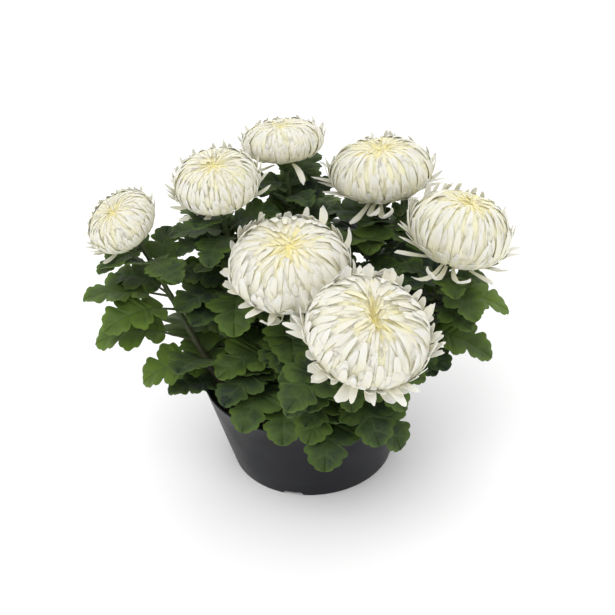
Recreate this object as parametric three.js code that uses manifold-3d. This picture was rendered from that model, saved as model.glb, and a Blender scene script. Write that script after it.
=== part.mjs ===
// A pot chrysanthemum: seven leafy stems, each with one incurved white flower head, in a plastic nursery pot.
// Millimetres, +Z up, origin at the centre of the pot's underside, the front of the plant towards -Y.
import * as THREE from "three";
import { mergeVertices } from "three/addons/utils/BufferGeometryUtils.js";
import Module from "manifold-3d";

const wasm = await Module();
wasm.setup();

// ---------------------------------------------------------------- driving dimensions

const GAP = 0.3; // clearance between two pieces that touch
const SEED = 1887;

const POT = {
  height: 88,
  topRadius: 95,
  baseRadius: 73,
  wall: 1.8,
  floor: 2.4,
  edge: 0.9, // bevel of the rim and the foot
  sides: 36,
};
const DRAIN = { count: 4, width: 18, height: 3.6, depth: 9, firstTurn: 254 };
const SOIL = { top: 75, lump: 3.2, edgeDrop: 5, sides: 30, rings: 3 };
const SLIVER = 0.2; // slivers thinner than this, left by the holes in the soil, merge into their neighbours

const STEM = { rootDepth: 24, footRadius: 2.9, neckRadius: 1.9, sides: 5, steps: 9 };
const BORED_SHARE = 0.4; // how far along each stem its hole in the soil is bored, to well above the soil
// The green cup under a head, as [distance below the head, radius]: its cup is for a head of 50 mm radius.
const CALYX = {
  height: 9,
  sides: 8,
  neck: [
    [10, 1.9],
    [6.8, 2.4],
  ],
  cup: [
    [4, 7.9],
    [GAP, 10.5],
  ],
};

const LEAF = {
  thickness: 0.9,
  fold: 9, // degrees that each half rises from the midrib
  stalk: 2.2, // width and height of the stalk
};
// The least distance from a leaf to the leaves of other stems and of its own, to other stems, heads, pot
// and soil.
const ROOM = { leaf: 8, ownLeaf: 5, stem: 9.5, head: 7, pot: 4, soil: 5 };
const RIM_ZONE = 15; // how far inside the pot's rim a low leaf counts as touching the pot
const FILLING = { from: 0.24, to: 0.8, goldenTurn: 137.5, stemTurn: 60 };

const FULL_HEAD = 50; // radius of the head that petal sizes are given for
const SEAT_SHARE = 0.9; // how far below its middle a head is cut flat, as a share of its height there
// A petal: height of its keel, how far its edges curl in, how deep its root lies, and where along its length
// its cross-sections are and how wide they are.
const PETAL = { keel: 1.1, cup: 1.6, rootShare: 0.74, stations: [0, 0.45, 0.82, 1], widths: [0.6, 1, 0.8] };
const PETAL_JITTER = { turn: 0.25, shortest: 0.94, longest: 1.04 };
const PETAL_CLEARANCE = 5; // a petal that would come nearer to another head than this is left out

// Each stem: where it stands, how its curve leaves the soil and meets the head, and how many filling leaves
// it has.
// Each head: where its middle is, how it leans, its radius, and its height above and below the middle.
const PLANTS = [
  {
    foot: [-46, -30],
    leave: [-34, -14, 38],
    arrive: { back: 48, shift: [6, -16, -10] },
    filling: 2,
    head: { centre: [-152, 20, 239], tilt: 28, turn: 205, radius: 31, above: 19, below: 21, loose: 3 },
  },
  {
    foot: [-42, 18],
    leave: [-8, 4, 80],
    arrive: { back: 60, shift: [0, 0, 0] },
    filling: 4,
    head: { centre: [-69, 36, 264], tilt: 8, turn: 240, radius: 37, above: 24, below: 24, loose: 4 },
  },
  {
    foot: [-10, 50],
    leave: [-2, 8, 85],
    arrive: { back: 66, shift: [0, 0, 0] },
    filling: 3,
    head: { centre: [-11, 95, 267], tilt: 12, turn: 105, radius: 36, above: 20, below: 20, loose: 3 },
  },
  {
    foot: [34, 40],
    leave: [4, 5, 70],
    arrive: { back: 62, shift: [0, 0, 0] },
    filling: 4,
    head: { centre: [74, 80, 240], tilt: 6, turn: 110, radius: 46, above: 29, below: 25, loose: 5 },
  },
  {
    foot: [52, 2],
    leave: [14, 2, 55],
    arrive: { back: 58, shift: [0, 0, 0] },
    filling: 3,
    head: { centre: [135, 2, 221], tilt: 18, turn: 20, radius: 44, above: 37, below: 30, loose: 5 },
  },
  {
    foot: [-10, -8],
    leave: [-2, -4, 60],
    arrive: { back: 50, shift: [0, 0, 0] },
    filling: 0,
    head: { centre: [-11, -22, 212], tilt: 12, turn: 275, radius: 51, above: 31, below: 25, loose: 5 },
  },
  {
    foot: [26, -40],
    leave: [2, -10, 48],
    arrive: { back: 40, shift: [0, 0, 0] },
    filling: 2,
    head: { centre: [49, -110, 201], tilt: 24, turn: 306, radius: 51, above: 34, below: 25, loose: 6 },
  },
];

// The leaves that show outermost. at: share of the way up the stem. turn: direction in degrees from +X.
// rise: slope of the stalk. droop: how much the slope falls along the blade. roll: turn about the midrib.
const OUTER_LEAVES = [
  { stem: 1, at: 0.52, turn: 186, rise: 25, droop: 60, stalk: 30, size: 62, roll: -10 },
  { stem: 1, at: 0.4, turn: 190, rise: 25, droop: 75, stalk: 8, size: 58, roll: -10 },
  { stem: 1, at: 0.72, turn: 188, rise: 20, droop: 40, stalk: 22, size: 56, roll: 0 },
  { stem: 1, at: 0.86, turn: 210, rise: 38, droop: 45, stalk: 8, size: 46, roll: 10 },
  { stem: 1, at: 0.8, turn: 80, rise: 50, droop: 30, stalk: 6, size: 44, roll: 0 },
  { stem: 1, at: 0.3, turn: 200, rise: 30, droop: 50, stalk: 6, size: 46, roll: 0 },
  { stem: 2, at: 0.66, turn: 130, rise: 40, droop: 50, stalk: 10, size: 60, roll: 0 },
  { stem: 2, at: 0.36, turn: 165, rise: 50, droop: 30, stalk: 18, size: 62, roll: -20 },
  { stem: 2, at: 0.5, turn: 266, rise: 30, droop: 75, stalk: 26, size: 58, roll: 0 },
  { stem: 6, at: 0.62, turn: 270, rise: 38, droop: 75, stalk: 18, size: 56, roll: 0 },
  { stem: 6, at: 0.4, turn: 216, rise: 32, droop: 62, stalk: 26, size: 62, roll: 0 },
  { stem: 6, at: 0.22, turn: 238, rise: 30, droop: 70, stalk: 30, size: 62, roll: 0 },
  { stem: 6, at: 0.48, turn: 260, rise: 55, droop: 105, stalk: 10, size: 56, roll: 0 },
  { stem: 6, at: 0.3, turn: 225, rise: 45, droop: 55, stalk: 14, size: 58, roll: 0 },
  { stem: 7, at: 0.34, turn: 240, rise: 30, droop: 80, stalk: 14, size: 60, roll: 0 },
  { stem: 7, at: 0.25, turn: 255, rise: 20, droop: 85, stalk: 25, size: 62, roll: 0 },
  { stem: 7, at: 0.3, turn: 310, rise: 20, droop: 90, stalk: 22, size: 60, roll: 0 },
  { stem: 7, at: 0.45, turn: 290, rise: 25, droop: 90, stalk: 22, size: 60, roll: 0 },
  { stem: 7, at: 0.55, turn: 220, rise: 25, droop: 60, stalk: 18, size: 54, roll: 0 },
  { stem: 5, at: 0.8, turn: 352, rise: 15, droop: 60, stalk: 10, size: 60, roll: 0 },
  { stem: 5, at: 0.58, turn: 336, rise: 0, droop: 35, stalk: 14, size: 62, roll: 0 },
  { stem: 5, at: 0.25, turn: 315, rise: 50, droop: 80, stalk: 10, size: 52, roll: 0 },
  { stem: 3, at: 0.8, turn: 208, rise: 60, droop: 40, stalk: 6, size: 50, roll: 0 },
  { stem: 3, at: 0.66, turn: 225, rise: 65, droop: 55, stalk: 6, size: 54, roll: 0 },
  { stem: 3, at: 0.74, turn: 70, rise: 45, droop: 45, stalk: 10, size: 56, roll: 0 },
  { stem: 3, at: 0.65, turn: 110, rise: 30, droop: 80, stalk: 14, size: 62, roll: 0 },
  { stem: 3, at: 0.55, turn: 55, rise: 40, droop: 50, stalk: 18, size: 62, roll: 0 },
  { stem: 4, at: 0.72, turn: 230, rise: 55, droop: 55, stalk: 12, size: 58, roll: 0 },
  { stem: 4, at: 0.82, turn: 345, rise: 45, droop: 50, stalk: 6, size: 52, roll: 0 },
  { stem: 5, at: 0.75, turn: 115, rise: 25, droop: 35, stalk: 10, size: 52, roll: 0 },
  { stem: 1, at: 0.35, turn: 105, rise: 35, droop: 50, stalk: 16, size: 50, roll: 0 },
  { stem: 4, at: 0.68, turn: 110, rise: 35, droop: 50, stalk: 12, size: 52, roll: 0 },
];

// Half of a leaf's outline, from the stalk to the tip, in blade lengths: [along the midrib, out from it].
// Each point is joined to the rib point of the given number, and the lobes lie between the two sinuses.
const RIB = [0.03, 0.3, 0.63, 1];
const HALF_LEAF = [
  { at: [-0.05, 0.15], rib: 0 },
  { at: [0.1, 0.33], rib: 0 },
  { at: [0.28, 0.2], rib: 1 },
  { at: [0.4, 0.38], rib: 1 },
  { at: [0.57, 0.41], rib: 1 },
  { at: [0.63, 0.19], rib: 2 },
  { at: [0.77, 0.27], rib: 2 },
  { at: [0.92, 0.17], rib: 2 },
];

// ---------------------------------------------------------------- colours

const MATERIALS = {
  pot: { color: 0x33363c, roughness: 0.42, metalness: 0 },
  soil: { color: 0x2a211a, roughness: 0.95, metalness: 0 },
  leaf: { color: 0x3c5a2c, roughness: 0.6, metalness: 0 },
  petal: { color: 0xf3f1e4, roughness: 0.55, metalness: 0 },
};

// ---------------------------------------------------------------- helpers

const radians = THREE.MathUtils.degToRad;
const vector = (values) => new THREE.Vector3(...values);

// A repeatable random draw from 0 to 1.
function dice(seed) {
  let state = seed >>> 0;
  return () => {
    state = (Math.imul(state, 1664525) + 1013904223) >>> 0;
    return state / 4294967296;
  };
}

// A closed three.js geometry as a manifold-3d solid.
function solidOf(geometry) {
  const bare = geometry.index ? geometry.clone() : geometry;
  bare.deleteAttribute("normal");
  bare.deleteAttribute("uv");
  const merged = mergeVertices(bare, 1e-4);
  return new wasm.Manifold(
    new wasm.Mesh({
      numProp: 3,
      vertProperties: merged.attributes.position.array,
      triVerts: new Uint32Array(merged.index.array),
    }),
  );
}

// A manifold-3d solid as a named mesh.
function meshOf(name, solid, look) {
  const { vertProperties, triVerts } = solid.getMesh();
  const geometry = new THREE.BufferGeometry();
  geometry.setAttribute("position", new THREE.BufferAttribute(vertProperties, 3));
  geometry.setIndex(new THREE.BufferAttribute(triVerts, 1));
  geometry.computeVertexNormals();
  const mesh = new THREE.Mesh(geometry, new THREE.MeshStandardMaterial(MATERIALS[look]));
  mesh.name = name;
  return mesh;
}

// The largest body of a union: its sealed hollows are filled, and a scrap that touches nothing is dropped.
function grownTogether(solids) {
  const bodies = wasm.Manifold.union(solids).decompose();
  return bodies.reduce((best, body) => (body.volume() > best.volume() ? body : best));
}

// A closed skin through rings of points. Every ring runs anticlockwise seen from the end that it leads to,
// and the last ring may be a single point.
function loft(rings) {
  const points = rings.flat();
  const sides = rings[0].length;
  const faces = [];
  for (let corner = 1; corner < sides - 1; corner++) faces.push(0, corner + 1, corner);
  for (let ring = 1; ring < rings.length; ring++) {
    const below = (ring - 1) * sides;
    const above = ring * sides;
    for (let side = 0; side < sides; side++) {
      const next = (side + 1) % sides;
      if (rings[ring].length === 1) {
        faces.push(below + side, below + next, above);
      } else {
        faces.push(below + side, below + next, above + next);
        faces.push(below + side, above + next, above + side);
      }
    }
  }
  const last = (rings.length - 1) * sides;
  if (rings.at(-1).length > 1) {
    for (let corner = 1; corner < sides - 1; corner++) faces.push(last, last + corner, last + corner + 1);
  }
  return meshData(points, faces);
}

function meshData(points, faces) {
  const geometry = new THREE.BufferGeometry();
  geometry.setAttribute("position", new THREE.Float32BufferAttribute(points.flatMap((p) => p.toArray()), 3));
  geometry.setIndex(faces);
  return geometry;
}

// A ring of points round a centre, square to a direction.
function ringRound(centre, direction, radius, sides) {
  const helper = Math.abs(direction.z) > 0.9 ? vector([1, 0, 0]) : vector([0, 0, 1]);
  const side = new THREE.Vector3().crossVectors(helper, direction).normalize();
  const up = new THREE.Vector3().crossVectors(direction, side).normalize();
  return Array.from({ length: sides }, (_, corner) => {
    const angle = (2 * Math.PI * corner) / sides;
    return centre
      .clone()
      .addScaledVector(side, radius * Math.cos(angle))
      .addScaledVector(up, radius * Math.sin(angle));
  });
}

function lathe(profile, sides) {
  return new THREE.LatheGeometry(profile.map(([radius, z]) => new THREE.Vector2(radius, z)), sides).rotateX(
    Math.PI / 2,
  );
}

// ---------------------------------------------------------------- pot and soil

function potRadius(z) {
  return THREE.MathUtils.lerp(POT.baseRadius, POT.topRadius, z / POT.height);
}

function makePot() {
  const { height, wall, floor, edge, sides } = POT;
  const profile = [
    [0, 0],
    [potRadius(0) - edge, 0],
    [potRadius(edge), edge],
    [potRadius(height - edge), height - edge],
    [potRadius(height) - wall / 2, height],
    [potRadius(height) - wall, height - edge],
    [potRadius(floor) - wall, floor],
    [0, floor],
  ];
  let pot = solidOf(lathe(profile, sides));
  for (let notch = 0; notch < DRAIN.count; notch++) {
    const turn = radians(DRAIN.firstTurn + (360 * notch) / DRAIN.count);
    const cutter = new THREE.CylinderGeometry(DRAIN.width / 2, DRAIN.width / 2, 2 * DRAIN.depth, 6)
      .rotateZ(Math.PI / 2)
      .scale(1, 1, (2 * DRAIN.height) / (Math.sqrt(3) * (DRAIN.width / 2)))
      .translate(POT.baseRadius, 0, 0)
      .rotateZ(turn);
    pot = pot.subtract(solidOf(cutter));
  }
  return pot;
}

// The lumpy top of the soil, lower towards the pot's wall.
function soilHeight(x, y) {
  const out = Math.hypot(x, y) / potRadius(SOIL.top);
  const lumps = Math.sin(x * 0.13 + 1.1) * Math.cos(y * 0.11) + 0.6 * Math.sin(x * 0.31 - y * 0.27);
  return SOIL.top - SOIL.edgeDrop * out ** 3 + 0.5 * SOIL.lump * lumps * (1 - out ** 4);
}

function makeSoil() {
  const bottom = POT.floor + GAP;
  const inside = (z) => (potRadius(z) - POT.wall) * Math.cos(Math.PI / POT.sides) - GAP;
  const top = SOIL.top - SOIL.edgeDrop;
  const profile = [
    [0, bottom],
    [inside(bottom), bottom],
  ];
  for (let ring = 0; ring <= SOIL.rings; ring++) profile.push([inside(top) * (1 - ring / SOIL.rings), top]);
  const geometry = lathe(profile, SOIL.sides);
  const place = geometry.attributes.position;
  for (let i = 0; i < place.count; i++) {
    if (place.getZ(i) > bottom + 1) place.setZ(i, soilHeight(place.getX(i), place.getY(i)));
  }
  const holes = PLANTS.map((plant) => makeTube(plant, 2 * GAP, BORED_SHARE));
  return solidOf(geometry).subtract(wasm.Manifold.union(holes)).simplify(SLIVER);
}

// ---------------------------------------------------------------- stems

function headAxis(head) {
  const tilt = radians(head.tilt);
  const turn = radians(head.turn);
  return vector([Math.sin(tilt) * Math.cos(turn), Math.sin(tilt) * Math.sin(turn), Math.cos(tilt)]);
}

// Where a head sits on its calyx.
function headSeat(head) {
  return vector(head.centre).addScaledVector(headAxis(head), -SEAT_SHARE * head.below);
}

// Whether a point lies in a head's rounded form, grown by a margin.
function insideHead(point, head, margin) {
  const away = point.clone().sub(vector(head.centre));
  const up = away.dot(headAxis(head));
  const out = Math.sqrt(Math.max(away.lengthSq() - up * up, 0));
  const height = up > 0 ? head.above : head.below;
  return (out / (head.radius + margin)) ** 2 + (up / (height + margin)) ** 2 < 1;
}

function stemCurve({ foot, leave, arrive, head }) {
  const axis = headAxis(head);
  const start = vector([foot[0], foot[1], SOIL.top - STEM.rootDepth]);
  const end = headSeat(head).addScaledVector(axis, -CALYX.height);
  const pull = end.clone().addScaledVector(axis, -arrive.back).add(vector(arrive.shift));
  return new THREE.CubicBezierCurve3(start, start.clone().add(vector(leave)), pull, end);
}

// A tapered tube along the stem, wider by the given clearance, up to a share of its height.
function makeTube(plant, extra, upTo) {
  const curve = stemCurve(plant);
  const steps = Math.round(STEM.steps * upTo);
  const rings = Array.from({ length: steps + 1 }, (_, step) => {
    const share = step / STEM.steps;
    const radius = THREE.MathUtils.lerp(STEM.footRadius, STEM.neckRadius, share) + extra;
    const direction = curve.getTangent(share);
    const centre = curve.getPoint(share).addScaledVector(direction, step === 0 ? -extra : 0);
    return ringRound(centre, direction, radius, STEM.sides);
  });
  return solidOf(loft(rings));
}

// The green cup under a head, flat on top where the head rests.
function makeCalyx(head) {
  const axis = headAxis(head);
  const scale = head.radius / FULL_HEAD;
  const rings = [...CALYX.neck, ...CALYX.cup.map(([down, radius]) => [down, radius * scale])];
  return solidOf(
    loft(
      rings.map(([down, radius]) =>
        ringRound(headSeat(head).addScaledVector(axis, -down), axis, radius, CALYX.sides),
      ),
    ),
  );
}

// ---------------------------------------------------------------- leaves

// The frame of a leaf: where its blade starts, and a function that bends a flat point [along, out, up]
// with it.
function leafFrame(leaf) {
  const start = stemCurve(PLANTS[leaf.stem - 1]).getPoint(leaf.at);
  const rise = radians(leaf.rise);
  const droop = radians(Math.max(leaf.droop, 1));
  const roll = radians(leaf.roll);
  const fold = radians(LEAF.fold);
  const turned = (x, y, z) => vector([x, y, z]).applyAxisAngle(vector([0, 0, 1]), radians(leaf.turn));
  const base = start.clone().add(turned(leaf.stalk * Math.cos(rise), 0, leaf.stalk * Math.sin(rise)));
  const bend = (along, out, up) => {
    const slope = rise - droop * Math.max(along, 0);
    const straight = leaf.size * Math.min(along, 0);
    const x = straight * Math.cos(rise) + (leaf.size * (Math.sin(rise) - Math.sin(slope))) / droop;
    const z = straight * Math.sin(rise) + (leaf.size * (Math.cos(slope) - Math.cos(rise))) / droop;
    const across = turned(0, Math.cos(roll), 0).add(
      turned(-Math.sin(slope) * Math.sin(roll), 0, Math.cos(slope) * Math.sin(roll)),
    );
    const normal = turned(
      -Math.sin(slope) * Math.cos(roll),
      -Math.sin(roll),
      Math.cos(slope) * Math.cos(roll),
    );
    return base
      .clone()
      .add(turned(x, 0, z))
      .addScaledVector(across, out * leaf.size * Math.cos(fold))
      .addScaledVector(normal, Math.abs(out) * leaf.size * Math.sin(fold) + up);
  };
  return { start, base, bend };
}

// A lobed blade on its stalk, with both faces split alike.
function makeLeaf(leaf) {
  const { bend } = leafFrame(leaf);
  const half = LEAF.stalk / 2;
  const flat = RIB.map((along) => ({ along, out: 0, up: LEAF.thickness / 2 }));
  const edges = [1, -1].map((side) => {
    const corners = [
      { along: -leaf.stalk / leaf.size, out: (side * half) / leaf.size, up: half },
      { along: 0, out: (side * half) / leaf.size, up: half },
      ...HALF_LEAF.map(({ at: [along, out] }) => ({ along, out: side * out, up: LEAF.thickness / 2 })),
    ];
    return corners.map((corner) => flat.push(corner) - 1);
  });
  const [left, right] = edges;
  const tip = RIB.length - 1;
  const top = [
    [left[0], right[0], right[1]],
    [left[0], right[1], 0],
    [left[0], 0, left[1]],
  ];
  for (const edge of edges) {
    const add = (a, b, c) => top.push(edge === left ? [a, b, c] : [a, c, b]);
    let rib = 0;
    edge.slice(1).forEach((corner, i) => {
      const wanted = i === 0 ? 0 : HALF_LEAF[i - 1].rib;
      if (wanted > rib) add(rib, wanted, corner);
      rib = wanted;
      add(rib, edge[i + 2] ?? tip, corner);
    });
  }
  const outline = [...right, tip, ...left.toReversed()];
  const count = flat.length;
  const points = [1, -1].flatMap((face) => flat.map(({ along, out, up }) => bend(along, out, face * up)));
  const faces = top.flatMap(([a, b, c]) => [a, b, c, a + count, c + count, b + count]);
  outline.forEach((corner, i) => {
    const next = outline[(i + 1) % outline.length];
    faces.push(corner, corner + count, next + count, corner, next + count, next);
  });
  return solidOf(meshData(points, faces));
}

// Points spread over a leaf and its stalk, to keep it clear of what is already there.
function leafProbes(leaf) {
  const { start, base, bend } = leafFrame(leaf);
  const probes = [];
  for (const along of [0.05, 0.25, 0.45, 0.65, 0.85, 1]) {
    const half = along < 0.9 ? 0.38 : 0.14;
    for (const out of [-1, -0.5, 0, 0.5, 1]) probes.push(bend(along, out * half, 0));
  }
  for (const share of [0.5, 0.8]) probes.push(start.clone().lerp(base, share));
  return probes;
}

// Filling leaves stand round each stem at the golden angle, larger in the middle of the stem.
function fillingLeaves(stem, count) {
  const roll = dice(SEED + stem);
  return Array.from({ length: count }, (_, i) => {
    const share = (i + 0.5) / count;
    return {
      stem,
      at: THREE.MathUtils.lerp(FILLING.from, FILLING.to, share),
      turn: FILLING.goldenTurn * i + FILLING.stemTurn * stem,
      rise: 20 + 20 * roll(),
      droop: 50 + 30 * roll(),
      stalk: 14 + 10 * roll(),
      size: 54 + 14 * Math.sin(Math.PI * share) - 6 * roll(),
      roll: 16 * (roll() - 0.5),
    };
  });
}

// The turns and the lifts of its stalk that a leaf tries, in degrees, until it is clear.
const SWINGS = [0, 15, -15, 30, -30, 45, -45, 60, -60, 80, -80, 100, -100];
const LIFTS = [0, 14, -14, 28];

// Each leaf takes the first direction that keeps clear of the pot, the heads, the other stems and the leaves
// placed before it. One that finds no room is left out.
function placeLeaves() {
  const placed = [];
  const stems = PLANTS.map((plant) => stemCurve(plant).getPoints(24).slice(4)); // from the soil up
  const inHead = (point) => PLANTS.some(({ head }) => insideHead(point, head, ROOM.head));
  const inPot = ({ x, y, z }) => {
    const out = Math.hypot(x, y);
    const outside = potRadius(Math.max(z, 0)) + ROOM.pot;
    return z < POT.height + ROOM.pot && out < outside && out > POT.topRadius - RIM_ZONE;
  };
  const inSoil = ({ x, y, z }) => z < SOIL.top + ROOM.soil && Math.hypot(x, y) < POT.topRadius;
  const tooNear = (some, others, distance) =>
    some.some((a) => others.some((b) => a.distanceToSquared(b) < distance * distance));
  const clear = (leaf) => {
    const probes = leafProbes(leaf);
    if (probes.some((probe) => inHead(probe) || inPot(probe) || inSoil(probe))) return false;
    if (stems.some((points, i) => i !== leaf.stem - 1 && tooNear(probes, points, ROOM.stem))) return false;
    return !placed.some((other) =>
      tooNear(probes, other.probes, other.leaf.stem === leaf.stem ? ROOM.ownLeaf : ROOM.leaf),
    );
  };
  const wanted = [...OUTER_LEAVES, ...PLANTS.flatMap((plant, i) => fillingLeaves(i + 1, plant.filling))];
  for (const leaf of wanted) {
    let found = null;
    for (const lift of LIFTS) {
      for (const swing of SWINGS) {
        const tried = { ...leaf, turn: leaf.turn + swing, rise: leaf.rise + lift };
        if (!found && clear(tried)) found = tried;
      }
    }
    if (found) placed.push({ leaf: found, probes: leafProbes(found) });
  }
  return placed.map(({ leaf }) => leaf);
}

// ---------------------------------------------------------------- flower heads

// A point on the shell of a head: angle from its underside in degrees, and the share of full size.
function shell(head, angle, share) {
  const lean = radians(angle);
  const height = Math.cos(lean) > 0 ? head.below : head.above;
  return {
    out: share * head.radius * Math.sin(lean),
    up: SEAT_SHARE * head.below - share * height * Math.cos(lean),
  };
}

// Rings of petals from the outside in: share of full size, angles where petals start and end, petals and
// width for a head of 50 mm radius, and how far the tips spread and drop.
const PETAL_RINGS = [
  { share: 1.0, from: 30, to: 100, count: 9, width: 19, spread: 5, drop: 0 },
  { share: 0.93, from: 56, to: 124, count: 8, width: 19, spread: 0, drop: 0 },
  { share: 0.86, from: 82, to: 143, count: 8, width: 17, spread: 0, drop: 0 },
  { share: 0.79, from: 108, to: 158, count: 6, width: 15, spread: 0, drop: 0 },
  { share: 0.73, from: 134, to: 172, count: 3, width: 14, spread: 0, drop: 0 },
];
const LOOSE_RING = { share: 1.02, from: 14, to: 62, width: 12, spread: 11, drop: 7 };
// The core that the petals stand on: angle and share of full size.
const CORE_SIDES = 10;
const CORE = [
  [18, 0.9],
  [45, 0.88],
  [75, 0.86],
  [102, 0.79],
  [128, 0.71],
  [154, 0.64],
  [180, 0.6],
];

// The middle line of a petal, from its root in the core to its tip, as [out from the axis, up it].
function petalLine(head, ring, stretch) {
  const scale = head.radius / FULL_HEAD;
  return PETAL.stations.map((along) => {
    const angle = ring.from + (ring.to - ring.from) * along * stretch;
    const { out, up } = shell(head, angle, ring.share * (along === 0 ? PETAL.rootShare : 1));
    return new THREE.Vector2(out + scale * ring.spread * along ** 2, up - scale * ring.drop * along ** 2);
  });
}

// One petal: a keeled strip along its line, in the plane at the given turn round the head's axis.
function makePetal(head, ring, line, turn) {
  const scale = head.radius / FULL_HEAD;
  const widths = PETAL.widths.map((share) => (share * ring.width * Math.sqrt(scale)) / 2);
  const place = (out, aside, up) => vector([out, aside, up]).applyAxisAngle(vector([0, 0, 1]), turn);
  const rings = line.slice(0, 3).map((station, i) => {
    const ahead = line[i + 1].clone().sub(line[Math.max(i - 1, 0)]).normalize();
    const outward = new THREE.Vector2(ahead.y, -ahead.x);
    const ridge = station.clone().addScaledVector(outward, scale * PETAL.keel);
    const edge = station.clone().addScaledVector(outward, -scale * PETAL.cup);
    return [place(edge.x, widths[i], edge.y), place(edge.x, -widths[i], edge.y), place(ridge.x, 0, ridge.y)];
  });
  return solidOf(loft([...rings, [place(line[3].x, 0, line[3].y)]]));
}

function makeHead(head, number) {
  const roll = dice(SEED + 100 * number);
  const stand = new THREE.Matrix4()
    .makeRotationFromQuaternion(new THREE.Quaternion().setFromUnitVectors(vector([0, 0, 1]), headAxis(head)))
    .setPosition(headSeat(head));
  const others = PLANTS.map((plant) => plant.head).filter((other) => other !== head);
  const profile = [[0, 0]];
  for (const [angle, share] of CORE) {
    const { out, up } = shell(head, angle, share);
    profile.push([angle === 180 ? 0 : out, Math.max(up, 0)]);
  }
  const solids = [solidOf(lathe(profile, CORE_SIDES))];
  const size = Math.sqrt(head.radius / FULL_HEAD);
  const rings = PETAL_RINGS.map((ring) => ({ ...ring, count: Math.round(ring.count * size) }));
  for (const ring of [...rings, { ...LOOSE_RING, count: head.loose }]) {
    const offset = roll() * 2 * Math.PI;
    for (let i = 0; i < ring.count; i++) {
      const turn = offset + (2 * Math.PI * (i + PETAL_JITTER.turn * (roll() - 0.5))) / ring.count;
      const stretch = THREE.MathUtils.lerp(PETAL_JITTER.shortest, PETAL_JITTER.longest, roll());
      const line = petalLine(head, ring, stretch);
      const tip = vector([line[3].x * Math.cos(turn), line[3].x * Math.sin(turn), line[3].y]);
      tip.applyMatrix4(stand);
      if (others.some((other) => insideHead(tip, other, PETAL_CLEARANCE))) continue;
      solids.push(makePetal(head, ring, line, turn));
    }
  }
  return grownTogether(solids).transform(stand.elements);
}

// ---------------------------------------------------------------- the plant

function makePlant() {
  const plant = new THREE.Group();
  plant.add(meshOf("pot", makePot(), "pot"));
  plant.add(meshOf("soil", makeSoil(), "soil"));
  const leaves = placeLeaves();
  PLANTS.forEach((grown, i) => {
    const own = leaves.filter(({ stem }) => stem === i + 1).map(makeLeaf);
    const stem = grownTogether([makeTube(grown, 0, 1), makeCalyx(grown.head), ...own]);
    plant.add(meshOf(`stem_${i + 1}`, stem, "leaf"));
    plant.add(meshOf(`bloom_${i + 1}`, makeHead(grown.head, i + 1), "petal"));
  });
  return plant;
}

export default makePlant();
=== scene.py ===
"""A pot chrysanthemum: seven leafy stems, each with one incurved white flower head, in a plastic nursery pot.

The CAD model is the fixed frame. Each of its pieces is replaced by a finer one that keeps its form, and the
stems also get small leaves that the CAD model leaves out. Sizes in the tables are millimetres, as in the
part's source, and MM turns them into Blender's metres.
"""

import math
from collections import namedtuple

import bmesh
import bpy
import numpy as np
from mathutils import Matrix, Vector


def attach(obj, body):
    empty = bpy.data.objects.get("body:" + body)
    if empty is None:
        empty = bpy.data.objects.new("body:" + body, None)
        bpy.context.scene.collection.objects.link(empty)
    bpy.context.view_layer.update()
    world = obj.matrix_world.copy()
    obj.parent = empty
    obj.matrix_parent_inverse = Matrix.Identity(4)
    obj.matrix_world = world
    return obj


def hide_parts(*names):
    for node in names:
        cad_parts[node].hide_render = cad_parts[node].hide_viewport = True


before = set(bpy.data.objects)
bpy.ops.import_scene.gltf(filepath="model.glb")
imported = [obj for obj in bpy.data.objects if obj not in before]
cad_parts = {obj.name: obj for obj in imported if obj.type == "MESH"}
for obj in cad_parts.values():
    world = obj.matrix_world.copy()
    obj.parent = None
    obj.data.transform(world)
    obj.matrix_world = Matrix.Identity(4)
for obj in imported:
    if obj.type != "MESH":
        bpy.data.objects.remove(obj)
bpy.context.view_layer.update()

bl_info = {
    "name": "Pot Chrysanthemum",
    "version": (1, 0, 0),
    "blender": (4, 5, 0),
    "location": "3D View > Sidebar > Chrysanthemum",
    "description": "Builds a flowering pot chrysanthemum piece by piece over its CAD frame",
    "category": "Add Mesh",
}

MM = 0.001
SEED = 1887
BODY = "root"
SHARP_ANGLE = 60  # degrees between faces from which an edge is shaded as sharp

# ------------------------------------------------------------------ driving dimensions, in millimetres

POT_HEIGHT = 88
POT_TOP = 95
POT_FOOT = 73
POT_WALL = 1.8
POT_FLOOR = 2.4
POT_EDGE = 0.9  # rounding of the foot
POT_RING = 5  # width of the ring that the pot stands on
POT_HOLLOW = 0.4  # how far the underside lies above that ring
POT_LEVELS = (20, 45, 70)  # heights at which the wall has a ring of points
POT_CORNER = 1.5  # size of the sloped corner between wall and floor
POT_STEPS = 144
POT_SHARP_ANGLE = 40
DRAIN_TURNS = (254, 344, 74, 164)  # compass directions of the drain notches in the foot
DRAIN_WIDTH = 18
DRAIN_HEIGHT = 3.6
DRAIN_DEPTH = 9
DRAIN_CORNER = 2  # rounding of the notches' upper edges

SOIL_TOP = 75
SOIL_LUMP = 3.2
SOIL_EDGE_DROP = 5
SOIL_SIDE_GAP = 0.4  # between the soil and the pot's wall
SOIL_FLOOR_GAP = 0.3  # between the soil and the pot's floor
SOIL_MIDDLE = 40  # height of a ring of points in its side
SOIL_RINGS = 40
SOIL_STEPS = 120
SOIL_GRAIN = 0.35  # the least and most that single points of the soil stand out
CRUMBS = 520
CRUMB_MARGIN = 3  # how far crumbs keep from the edge of the soil
CRUMB_SIZE = 0.8  # of the smallest crumbs
CRUMB_SIZE_RANGE = 2.4  # how much larger they can be

ROOT_DEPTH = 24
STEM_FOOT = 2.9
STEM_NECK = 1.9
CALYX_HEIGHT = 9
SEAT_SHARE = 0.9  # how far below its middle a head sits on its calyx, as a share of its height there
FULL_HEAD = 50  # radius of the head that petal and calyx sizes are given for
LEAF_FOLD = 9  # degrees that each half of a leaf rises from the midrib
GOLDEN_TURN = 137.5

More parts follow.
